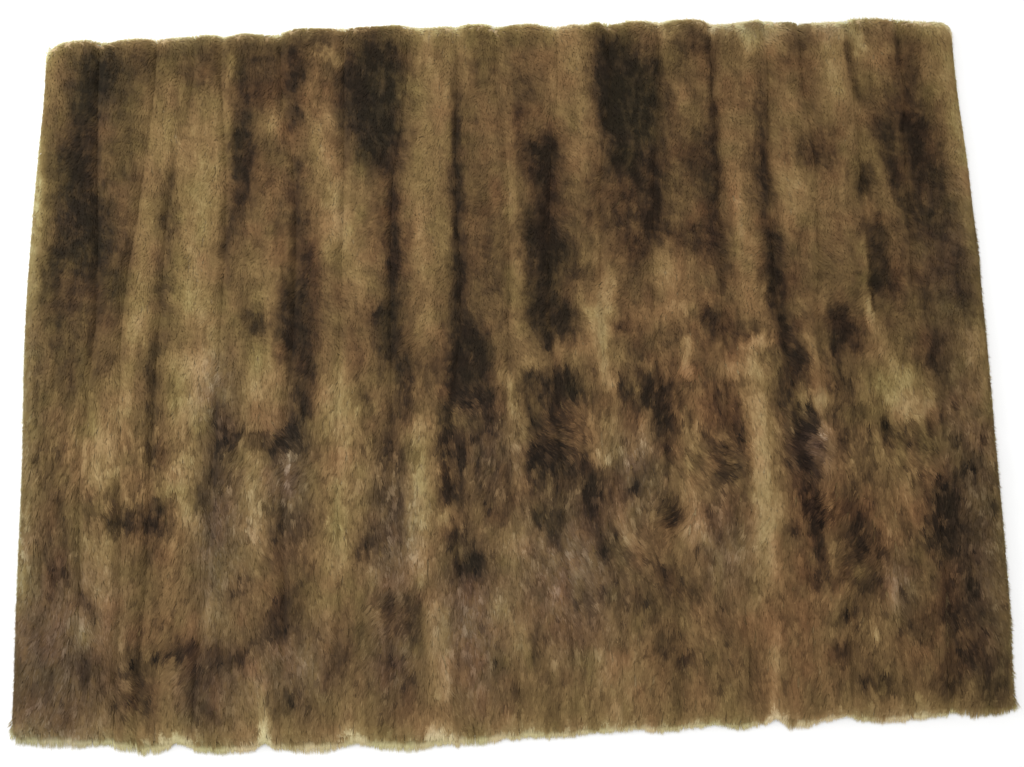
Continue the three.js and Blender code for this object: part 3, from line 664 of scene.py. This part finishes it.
def warmAt(x, y, rooms):
    # from 0, olive, over 0.5, plain, to 1, reddish
    warm = 0.5 + 0.25 * cloud(x, y, 56, 70, 27) + 0.22 * cloud(x, y, 24, 32, 28)
    for *place, amount in markSet["warm"]:
        warm += amount * spot(x, y, *place)
    inside = np.clip(rooms, 0, None)
    warm -= 0.5 * np.exp(-inside[:3].min(0) / 30) + 0.3 * np.exp(-inside[3] / 26)
    return np.clip(warm, 0, 1)


def paintedSheenAt(x, y):
    # how much of the hair gets the painted grey sheen
    share = np.zeros(x.shape)
    for *place, amount in markSet["paintedSheen"]:
        share += amount * spot(x, y, *place)
    return np.clip(share, 0, 1)


lockSet = {
    "steps": 5,
    "line": 0.1,  # strength of the fine lines
    "lineWide": 4,
    "lineReach": 16,
    "wide": 13,
    "reach": 26,
    "small": 0.6,  # the smaller locks, as a share of the large ones
    "edge": 0.12,
    "lit": 0.035,  # how light the painted highlight on the lit sides is
    "crevice": 0.07,
    "deep": 0.07,  # how dark the painted shade in the crevices is
    "middle": (320, -120, 430, 260),  # where the locks stand out most: x, y, across, along
    "middleShare": 0.85,
}


# Which way the fur lies

napSet = {
    "sway": 16,  # degrees of slow wander
    "waver": 9,  # degrees of quicker wander
    "curl": 32,  # degrees of quick wander in the short fur of the upper half
    "turns": [  # x, y, reach, and the turn in degrees towards +X
        (-470, -150, 60, 75), (-440, -200, 45, -60), (90, -140, 60, 70), (330, -320, 45, -80),
        (600, -170, 60, 60), (640, -300, 50, -50), (120, -420, 150, 18), (220, -360, 70, 24),
        (-90, -60, 50, 40), (710, -410, 60, -55), (-770, -620, 60, 45), (-250, -490, 60, -40),
        (430, -200, 60, 50), (-540, -180, 60, -45), (820, -180, 70, 30), (-640, -590, 60, -30),
    ],
}


def napAngle(x, y):
    # the turn away from straight down the throw, in radians
    low = lowHalf(y)
    turn = napSet["sway"] * cloud(x, y, 80, 150, 21) + napSet["waver"] * cloud(x, y, 30, 60, 22)
    turn += napSet["curl"] * (1.15 - low) * cloud(x, y, 42, 50, 23)
    for turnX, turnY, reach, amount in napSet["turns"]:
        turn += amount * np.exp(-((x - turnX) ** 2 + (y - turnY) ** 2) / reach**2)
    return np.radians(turn)


# Meshes from arrays

def meshFrom(name, points, triangles, fields, bakeMap):
    mesh = bpy.data.meshes.new(name)
    mesh.vertices.add(len(points))
    mesh.vertices.foreach_set("co", (points * mm).astype(np.float32).ravel())
    mesh.loops.add(triangles.size)
    mesh.loops.foreach_set("vertex_index", triangles.astype(np.int32).ravel())
    mesh.polygons.add(len(triangles))
    mesh.polygons.foreach_set("loop_start", np.arange(0, triangles.size, 3, dtype=np.int32))
    mesh.polygons.foreach_set("use_smooth", np.ones(len(triangles), bool))
    for field, values in fields.items():
        mesh.attributes.new(field, "FLOAT", "POINT").data.foreach_set("value", values.astype(np.float32))
    if bakeMap is not None:
        layer = mesh.uv_layers.new(name="OFBake")
        layer.data.foreach_set("uv", bakeMap[triangles.ravel()].astype(np.float32).ravel())
    mesh.update(calc_edges=True)
    obj = bpy.data.objects.new(name, mesh)
    bpy.context.scene.collection.objects.link(obj)
    return obj


# Materials

furSet = {
    "tones": [  # tone, and its colour
        (0.0, (0.0130, 0.0088, 0.0052)),
        (0.12, (0.0345, 0.0212, 0.0112)),
        (0.25, (0.0725, 0.0425, 0.0190)),
        (0.42, (0.1400, 0.0835, 0.0345)),
        (0.6, (0.2270, 0.1405, 0.0575)),
        (0.8, (0.3400, 0.2310, 0.1030)),
        (1.0, (0.7000, 0.5700, 0.3300)),
    ],
    "paintedSheenTones": [  # the same for the painted grey sheen on guard hair
        (0.0, (0.0140, 0.0102, 0.0080)),
        (0.25, (0.0690, 0.0465, 0.0325)),
        (0.42, (0.1300, 0.0900, 0.0610)),
        (0.6, (0.2150, 0.1590, 0.1130)),
        (1.0, (0.4400, 0.3750, 0.3000)),
    ],
    "tints": [(0.0, (0.87, 0.97, 0.86)), (0.5, (0.98, 0.98, 0.98)), (1.0, (1.0, 0.86, 0.89))],
    "shades": [(0.0, (0.72, 0.72, 0.72)), (0.55, (0.95, 0.95, 0.95)), (1.0, (1.0, 1.0, 1.0))],  # painted shade, from the darker root to the tip
    "grainScale": 140,
    "grain": 0.08,
    "roughness": 0.65,
    "specular": 0.06,
}


def newMaterial(name):
    material = bpy.data.materials.new(name)
    material.use_nodes = True
    tree = material.node_tree
    return material, tree, tree.nodes["Principled BSDF"]


def attributeNode(tree, name):
    node = tree.nodes.new("ShaderNodeAttribute")
    node.attribute_name = name
    return node.outputs["Fac"]


def mathNode(tree, operation, first, second):
    node = tree.nodes.new("ShaderNodeMath")
    node.operation = operation
    for socket, value in zip(node.inputs, (first, second)):
        if isinstance(value, (int, float)):
            socket.default_value = value
        else:
            tree.links.new(value, socket)
    return node.outputs[0]


def rampNode(tree, value, stops):
    node = tree.nodes.new("ShaderNodeValToRGB")
    while len(node.color_ramp.elements) < len(stops):
        node.color_ramp.elements.new(0.5)
    for element, (place, color) in zip(node.color_ramp.elements, stops):
        element.position = place
        element.color = (*color, 1)
    tree.links.new(value, node.inputs["Fac"])
    return node.outputs["Color"]


def mixNode(tree, blend, share, first, second):
    node = tree.nodes.new("ShaderNodeMix")
    node.data_type = "RGBA"
    node.blend_type = blend
    node.inputs[0].default_value = 1
    for socket, value in ((node.inputs[0], share), (node.inputs[6], first), (node.inputs[7], second)):
        if isinstance(value, (int, float)):
            socket.default_value = value
        elif isinstance(value, tuple):
            socket.default_value = (*value, 1)
        else:
            tree.links.new(value, socket)
    return node.outputs[2]


def noiseNode(tree, scale, detail):
    place = tree.nodes.new("ShaderNodeTexCoord")
    node = tree.nodes.new("ShaderNodeTexNoise")
    node.inputs["Scale"].default_value = scale
    node.inputs["Detail"].default_value = detail
    tree.links.new(place.outputs["Object"], node.inputs["Vector"])
    return node.outputs["Fac"]


def grainNode(tree, settings):
    # fine noise round zero
    noise = noiseNode(tree, settings["grainScale"], 3)
    return mathNode(tree, "MULTIPLY", mathNode(tree, "SUBTRACT", noise, 0.5), settings["grain"])


def finishMaterial(tree, shader, color, settings):
    tree.links.new(color, shader.inputs["Base Color"])
    shader.inputs["Roughness"].default_value = settings["roughness"]
    shader.inputs["Specular IOR Level"].default_value = settings["specular"]


def furMaterial(name):
    material, tree, shader = newMaterial(name)
    along = attributeNode(tree, "along")
    grain = grainNode(tree, furSet)
    tone = mathNode(tree, "ADD", attributeNode(tree, "tone"), grain)
    # painted grey sheen, as a share of the grey ramp
    paintedSheen = attributeNode(tree, "paintedSheen")
    brown = rampNode(tree, tone, furSet["tones"])
    grey = rampNode(tree, tone, furSet["paintedSheenTones"])
    color = mixNode(tree, "MIX", paintedSheen, brown, grey)
    tint = rampNode(tree, attributeNode(tree, "warm"), furSet["tints"])
    color = mixNode(tree, "MULTIPLY", 1.0, color, tint)
    # painted shade, darker towards each hair's root
    color = mixNode(tree, "MULTIPLY", 1.0, color, rampNode(tree, along, furSet["shades"]))
    finishMaterial(tree, shader, color, furSet)
    return material


hideSet = {
    "leather": [(0.3, (0.52, 0.43, 0.32)), (0.7, (0.62, 0.53, 0.41))],
    "leatherScale": 30,
    "under": [(0.0, (0.014, 0.009, 0.006)), (0.42, (0.180, 0.112, 0.046)), (1.0, (0.520, 0.390, 0.210))],
    "grainScale": 220,
    "grain": 0.3,
    "roughness": 0.9,
    "specular": 0.2,
    "length": 1500,
    "rows": 96,
    "columns": 12,
    "foot": 0.86,  # the underfur's height as a share of the fur's
    "inset": 5,  # the hide stays back under the fur at the outer rim
    "seamGap": 0.2,
    "glow": 0.8,  # the underfur's share of the painted glow at the edge
}


def leatherMaterial():
    # suede below, dense dark underfur above
    material, tree, shader = newMaterial("hideAndUnderfur")
    leather = rampNode(tree, noiseNode(tree, hideSet["leatherScale"], 6), hideSet["leather"])
    grain = grainNode(tree, hideSet)
    under = rampNode(tree, mathNode(tree, "ADD", attributeNode(tree, "tone"), grain), hideSet["under"])
    color = mixNode(tree, "MIX", attributeNode(tree, "above"), leather, under)
    finishMaterial(tree, shader, color, hideSet)
    return material


# The hide: a thin closed slab for each pelt, with the underfur on top

def peltSlab(index):
    rows = hideSet["rows"]
    columns = hideSet["columns"]
    share = np.linspace(0, 1, rows + 1)[:, None] * np.ones(columns + 1)
    across = np.linspace(0, 1, columns + 1)[None, :] * np.ones((rows + 1, 1))
    inset = hideSet["inset"]
    y = hideSet["length"] * (share - 0.5)
    left = seamX(index, y) + (inset if index == 0 else hideSet["seamGap"])
    right = seamX(index + 1, y) - (inset if index == peltCount - 1 else hideSet["seamGap"])
    x = left + (right - left) * across
    top, hem = endsAt(x.ravel())
    top = top.reshape(x.shape) - inset
    hem = hem.reshape(x.shape) + inset
    y = hem + (top - hem) * share
    height = furHeight(x.ravel(), y.ravel()).reshape(x.shape) * hideSet["foot"]
    upper = np.stack([x, y, height], -1).reshape(-1, 3)
    lower = np.stack([x, y, np.zeros(x.shape)], -1).reshape(-1, 3)
    points = np.concatenate([upper, lower])
    wide = columns + 1
    corner = (np.arange(rows)[:, None] * wide + np.arange(columns)).ravel()
    faces = np.concatenate([
        np.stack([corner, corner + 1, corner + wide + 1], 1),
        np.stack([corner, corner + wide + 1, corner + wide], 1),
    ])
    below = faces[:, ::-1] + len(upper)
    rim = np.concatenate([
        np.arange(wide), np.arange(1, rows + 1) * wide + columns,
        rows * wide + np.arange(columns - 1, -1, -1), np.arange(rows - 1, 0, -1) * wide,
    ])
    after = np.roll(rim, -1)
    side = np.concatenate([
        np.stack([rim, rim + len(upper), after + len(upper)], 1),
        np.stack([rim, after + len(upper), after], 1),
    ])
    above = np.concatenate([np.ones(len(upper)), np.zeros(len(lower))])
    return points, np.concatenate([faces, below, side]), above


def buildHide():
    slabs = [peltSlab(index) for index in range(peltCount)]
    starts = np.cumsum([0] + [len(points) for points, _, _ in slabs])
    points = np.concatenate([points for points, _, _ in slabs])
    faces = np.concatenate([faces + start for (_, faces, _), start in zip(slabs, starts)])
    above = np.concatenate([above for _, _, above in slabs])
    x, y = points[:, 0], points[:, 1]
    # painted glow along the edges, in the underfur too
    tone = toneAt(x, y) + hideSet["glow"] * rimGlow(x, y)
    hide = meshFrom("hide", points, faces, {"tone": tone, "above": above}, None)
    hide.data.materials.append(leatherMaterial())
    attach(hide, "root")
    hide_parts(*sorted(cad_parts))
    return hide


# The fur: two-faced tapering blades, each a small group of hairs that lie together

bladeSet = {
    "halfWide": 1040,  # the roots are spread over twice this, and only those on the throw are kept
    "halfLong": 790,
    "spacing": 2.68,
    "jitter": 1.3,  # in steps of the grid
    "edgeGap": 3.5,  # no root is nearer than this to the outline
    "shortReach": 15,  # how far a hair reaches over the throw in the upper half
    "longReach": 25,  # in the lower half
    "shortWidth": 3.4,
    "longWidth": 2.8,
    "tuftWide": 9,
    "tuftLong": 14,
    "shortGather": 0.0,  # how far the tips of a tuft draw together
    "longGather": 0.32,
    "tuftTurn": 26,  # degrees that tufts and single hairs stray from the nap
    "ownTurn": 20,
    "outward": 1.8,  # how strongly the fur turns outwards at the edges
    "roll": 14,  # degrees
    "rootDrop": 0.08,  # how deep the roots sit in the underfur, as a share of the fur's height
    "midHeight": 0.95,
    "tipHeight": 0.965,
    "glint": 0.93,  # painted glint: tufts of guard hair above this catch the light
    "dull": 0.05,  # and tufts below this are darker
    "stray": 0.08,  # painted highlight: how much lighter single guard hairs are that catch the light
}


rimSet = {  # painted glow of the fur along the edges, and how wide that band is
    "side": 0.4,
    "sideWidth": 19,
    "low": 0.15,  # how much of that is left low down on either side
    "leftFade": (-520, -420),  # the y between which it fades
    "rightFade": (320, 480),
    "rightDim": 0.4,  # and near its top end the right side is this share dimmer
    "rightDimFrom": (500, 560),
    "top": 0.95,
    "topWidth": 12,
    "hem": 0.85,
    "hemWidth": 19,  # from the tips of the fur that hangs over the hem
    "hemWave": 5,
    "hemHaze": 0.1,  # a fainter and wider glow
    "hemHazeWidth": 34,
    "band": 12,  # roots nearer to an edge than this count as its own
    "sideBand": 22,  # hairs get shorter from here to the sides and the top
    "hemBand": 30,  # and from here to the hem they hang over it
    "fringe": 2.2,  # single hairs at the very edge, for each millimetre of it
    "fringeReach": 5.5,
    "fringeHalf": 0.45,  # half their width
    "fringeOutward": 2.6,
    "fringeX": (-984, 984),
    "fringeY": (-712, 722),
    "fringeBand": (2, 5),  # their roots lie from 2 to 7 mm inside
    "droop": 0.28,  # how far hair hangs down for each millimetre past the hide
    "rightTips": [  # y, and how much further out the fur of the right edge reaches there
        (-725, 0), (-650, 5), (-560, 6), (-470, 2), (-100, 1), (180, 2), (250, 5), (320, 0),
    ],
    "hemTips": [  # x, and how far the fur hangs over the hem there
        (-985, 24), (-900, 31), (-820, 20), (-750, 31), (-700, 25), (-672, 6), (-640, 18), (-600, 24),
        (-555, 24), (-515, 18), (-495, 4), (-475, 20), (-430, 30), (-375, 32), (-318, 11), (-250, 28),
        (-195, 30), (-150, 18), (-130, 16), (-110, 27), (-70, 27), (-20, 17), (60, 22), (150, 19),
        (250, 14), (285, 23), (350, 17), (400, 13), (450, 24), (495, 18), (520, 7), (548, 30),
        (600, 22), (660, 7), (690, 20), (740, 23), (800, 22), (860, 15), (920, 29), (980, 21),
    ],
}


def rimGlow(x, y):
    # painted glow: how much lighter the fur is at the sides and the top
    rooms = np.clip(edgeRoom(x, y)[2], 0, None)
    leftShare = rimSet["low"] + (1 - rimSet["low"]) * smooth(y, *rimSet["leftFade"])
    rightDim = 1 - rimSet["rightDim"] * smooth(y, *rimSet["rightDimFrom"])
    rightShare = rimSet["low"] + (1 - rimSet["low"]) * smooth(y, *rimSet["rightFade"]) * rightDim
    glow = rimSet["side"] * leftShare * np.exp(-rooms[0] / rimSet["sideWidth"])
    glow += rimSet["side"] * rightShare * np.exp(-rooms[1] / rimSet["sideWidth"])
    return glow + rimSet["top"] * np.exp(-rooms[2] / rimSet["topWidth"])


def hemGlow(x, y):
    # the same painted glow at the hem, less towards the right
    hang = between(x, rimSet["hemTips"])
    toTips = np.clip(edgeRoom(x, y)[2][3] + hang + rimSet["hemWave"] * cloud(x, y, 11, 30, 85), 0, None)
    share = 1.05 - 0.3 * smooth(x, 0, 120) - 0.4 * smooth(x, 820, 900)
    glow = rimSet["hem"] * share * np.exp(-toTips / rimSet["hemWidth"])
    return glow + rimSet["hemHaze"] * np.exp(-toTips / rimSet["hemHazeWidth"])


def scatter():
    # uneven places for the roots, all over the throw
    step = bladeSet["spacing"]
    columns = np.arange(-bladeSet["halfWide"], bladeSet["halfWide"], step)
    rows = np.arange(-bladeSet["halfLong"], bladeSet["halfLong"], step)
    column, row = np.meshgrid(np.arange(len(columns)), np.arange(len(rows)))
    column = column.ravel()
    row = row.ravel()
    x = columns[column] + step * (chance(column, row, 31) - 0.5) * bladeSet["jitter"]
    y = rows[row] + step * (chance(column, row, 32) - 0.5) * bladeSet["jitter"]
    inside = edgeRoom(x, y)[0] > bladeSet["edgeGap"]
    return x[inside], y[inside], column[inside], row[inside]


def scatterEdge():
    # single hairs all round the outline
    step = 1 / rimSet["fringe"]
    runX = np.arange(*rimSet["fringeX"], step)
    runY = np.arange(*rimSet["fringeY"], step)
    alongX = np.arange(len(runX))
    alongY = np.arange(len(runY))
    top, hem = endsAt(runX)
    gap, depth = rimSet["fringeBand"]
    x = np.concatenate([
        runX, runX,
        seamX(0, runY) + gap + depth * chance(alongY, alongY, 33),
        seamX(peltCount, runY) - gap - depth * chance(alongY, alongY, 34),
    ])
    y = np.concatenate([
        top - gap - depth * chance(alongX, alongX, 35),
        hem + gap + depth * chance(alongX, alongX, 36),
        runY, runY,
    ])
    # cells of their own, past those of the other hairs
    return x, y, np.arange(len(x)) + 5000, np.full(len(x), 9000)


def tuftCells(x, y, seed):
    # the tuft that a root belongs to
    wide = bladeSet["tuftWide"]
    long = bladeSet["tuftLong"]
    shiftX = x + 6 * cloud(x, y, 24, 40, seed)
    shiftY = y + 9 * cloud(x, y, 26, 44, seed + 1)
    column = np.floor(shiftX / wide)
    row = np.floor(shiftY / long + 0.5 * np.mod(column, 2))
    middleX = (column + 0.5) * wide + (x - shiftX)
    middleY = (row + 0.5 - 0.5 * np.mod(column, 2)) * long + (y - shiftY)
    return column, row, middleX, middleY


def reachOf(x, y, rooms, loose, own, shared):
    # how long each hair is as seen from above
    reach = shortToLong(bladeSet, "Reach", lowHalf(y))
    reach = reach * (0.8 + 0.25 * shared[1] + 0.3 * own[1])
    side = np.minimum(np.minimum(rooms[0], rooms[1]), rooms[2])
    reach = np.where(side < rimSet["sideBand"], np.minimum(reach, 6 + side * 0.6), reach)
    further = between(y, rimSet["rightTips"])
    reach += np.where(rooms[1] < rimSet["sideBand"], further, 0)
    over = between(x, rimSet["hemTips"]) - 4 + 3 * cloud(x, y, 9, 400, 44) + 5 * (own[1] - 0.6)
    # the fur half fills the notches of the top edge
    beside = 0.5 * (endsAt(x - 15)[0] + endsAt(x + 15)[0]) - endsAt(x)[0]
    dip = np.where(rooms[2] < rimSet["band"], np.clip(beside, 0, 8), 0)
    ends = rimSet["fringeReach"] * (0.6 + 1.6 * own[1] ** 2)
    ends += np.where(rooms[1] < rimSet["band"], further, 0)
    reach = np.where(loose, ends, reach) + dip
    reach = np.where(loose & (rooms[3] < rimSet["band"]), rooms[3] + over + 4 * own[8], reach)
    toHem = np.minimum(np.maximum(reach, 20), 0.9 * rooms[3] + over)
    return np.where(~loose & (rooms[3] < rimSet["hemBand"]), toHem, reach)


def colorFields(root, mid, tip, rooms, loose, own, shared):
    # tone, share of painted grey sheen, warmth and place along the hair for its four points
    x, y = root
    low = lowHalf(y)
    rootGlow = rimGlow(x, y)
    tipGlow = rimGlow(*tip)
    seenX = x + 0.5 * (tip[0] - x)  # where the hair shows
    seenY = y + 0.5 * (tip[1] - y)
    tone = toneAt(seenX, seenY) + lockTone(seenX, seenY, napAngle(seenX, seenY))
    tone += 0.04 * (shared[4] - 0.5) + 0.02 * (own[6] - 0.5)
    tone = np.clip(tone, markSet["deepest"], markSet["palest"])
    zone = paintedSheenAt(seenX, seenY)
    # painted glint on tufts of guard hair that catch the light, less in the calm fur, and darker dull tufts
    glint = shared[4] > bladeSet["glint"]
    dull = shared[4] < bladeSet["dull"]
    glintAndDull = np.where(glint, (0.12 + 0.14 * zone) * calmAt(x, y), 0) - np.where(dull, 0.1, 0)
    # painted highlight on single guard hairs that catch the light
    stray = own[7] > 0.9 - 0.05 * low
    tone = np.minimum(tone + low * np.where(stray, bladeSet["stray"], glintAndDull), markSet["palest"])
    # painted glow: the single hairs at the edge are lighter, at the hem only their tips
    lit = np.where(loose, 0.2 + 0.3 * own[6], 0)
    atHem = rooms[3] < rimSet["band"]
    # painted grey sheen, in full on the hairs that catch the light
    paintedSheen = np.where(stray | glint, zone, zone * (0.3 + 0.5 * shared[5]))
    middle = tone + 0.4 * (rootGlow + tipGlow) + hemGlow(*mid) + np.where(atHem, 0.3, 1) * lit
    foot = tone + 0.5 * rootGlow + hemGlow(x, y) + np.where(atHem, 0, lit)
    end = tone + tipGlow + hemGlow(*tip) + lit
    return {
        "tone": np.clip(np.stack([foot, middle, middle, end], 1), 0, 1).ravel(),
        "paintedSheen": np.repeat(np.clip(paintedSheen, 0, 0.9), 4),
        "warm": np.repeat(warmAt(seenX, seenY, rooms), 4),
        "along": np.tile([0.0, 0.55, 0.55, 1.0], len(x)),
    }


def buildBlades():
    coat = scatter()
    edge = scatterEdge()
    x, y, column, row = [np.concatenate(pair) for pair in zip(coat, edge)]
    loose = np.arange(len(x)) >= len(coat[0])
    tuftColumn, tuftRow, middleX, middleY = tuftCells(x, y, 41)
    low = lowHalf(y)
    own = [chance(column, row, seed) for seed in range(51, 60)]
    shared = [chance(tuftColumn, tuftRow, seed) for seed in range(61, 68)]
    inside, way, rooms = edgeRoom(x, y)
    # the way each hair lies
    turn = napAngle(x, y) + np.radians(bladeSet["tuftTurn"]) * (shared[0] - 0.5)
    turn += np.radians(bladeSet["ownTurn"]) * (own[0] - 0.5)
    lie = np.stack([np.sin(turn), -np.cos(turn)], 1)
    lie = lie + way * np.where(loose, rimSet["fringeOutward"], bladeSet["outward"])[:, None]
    lie /= np.linalg.norm(lie, axis=1)[:, None]
    reach = reachOf(x, y, rooms, loose, own, shared)
    # tips of a tuft draw together
    gather = shortToLong(bladeSet, "Gather", low)
    gather = gather * (0.6 + 0.8 * shared[2]) * smooth(inside, 4, 20)
    aimX = middleX + lie[:, 0] * reach
    aimY = middleY + lie[:, 1] * reach
    tipX = x + lie[:, 0] * reach
    tipY = y + lie[:, 1] * reach
    tipX = tipX + (aimX - tipX) * gather
    tipY = tipY + (aimY - tipY) * gather
    midX = x + (tipX - x) * 0.5 + lie[:, 0] * 0.5
    midY = y + (tipY - y) * 0.5 + lie[:, 1] * 0.5
    # heights
    lift = (0.6 + 1.0 * low) * (shared[3] - 0.5) + (0.7 + 0.3 * low) * (own[2] - 0.5)
    lift = lift * calmAt(x, y)
    rootZ = furHeight(x, y) * (hideSet["foot"] - bladeSet["rootDrop"])
    midZ = furHeight(midX, midY) * bladeSet["midHeight"] + lift * 0.8
    midZ = np.clip(midZ, 3, None)
    tipZ = furHeight(tipX, tipY) * bladeSet["tipHeight"] + lift + 0.8 * (own[3] - 0.3)
    beyond = np.clip(-edgeRoom(tipX, tipY)[0], 0, 30)
    droopZ = np.clip(formSet["rim"] - rimSet["droop"] * beyond + 4 * (own[3] - 0.5), 0.8, None)
    tipZ = np.where(beyond > 0, droopZ, tipZ)
    # width across the run, a little rolled
    run = np.stack([tipX - x, tipY - y], 1)
    run /= np.linalg.norm(run, axis=1)[:, None] + 1e-9
    half = 0.5 * shortToLong(bladeSet, "Width", low)
    half = np.where(loose, rimSet["fringeHalf"], half * (0.75 + 0.5 * own[4]))
    roll = np.radians(bladeSet["roll"]) * (own[5] - 0.5)
    sideX = -run[:, 1] * half * np.cos(roll)
    sideY = run[:, 0] * half * np.cos(roll)
    sideZ = half * np.sin(roll)
    points = np.empty((len(x), 4, 3))
    points[:, 0] = np.stack([x, y, rootZ], 1)
    points[:, 1] = np.stack([midX - sideX, midY - sideY, midZ - sideZ], 1)
    points[:, 2] = np.stack([midX + sideX, midY + sideY, midZ + sideZ], 1)
    points[:, 3] = np.stack([tipX, tipY, tipZ], 1)
    fields = colorFields((x, y), (midX, midY), (tipX, tipY), rooms, loose, own, shared)
    return points, fields, peltAt(x, y)


def bladeMap(count):
    # a cell of its own in the bake for each blade
    side = math.ceil(math.sqrt(count))
    cell = np.arange(count)
    corner = np.stack([cell % side, cell // side], 1)[:, None, :]
    spots = np.array([(0.5, 0.1), (0.9, 0.5), (0.1, 0.5), (0.5, 0.9)])[None]
    return ((corner + spots) / side).reshape(-1, 2)


def buildFur():
    points, fields, owner = buildBlades()
    material = furMaterial("beaverFur")
    pieces = []
    for index in range(peltCount):
        mine = owner == index
        count = int(mine.sum())
        first = np.arange(count)[:, None] * 4
        faces = np.concatenate([first + np.array([0, 1, 2]), first + np.array([1, 3, 2])], 1).reshape(-1, 3)
        own = {field: values.reshape(-1, 4)[mine].ravel() for field, values in fields.items()}
        name = f"fur_{index + 1:02d}"
        fur = meshFrom(name, points[mine].reshape(-1, 3), faces, own, bladeMap(count))
        fur.data.materials.append(material)
        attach(fur, "root")
        pieces.append(fur)
    print(f"{sum(len(fur.data.polygons) for fur in pieces)} faces of fur in {len(pieces)} pieces")
    return pieces


hide = buildHide()
print("the hide and its underfur are laid")
furs = buildFur()
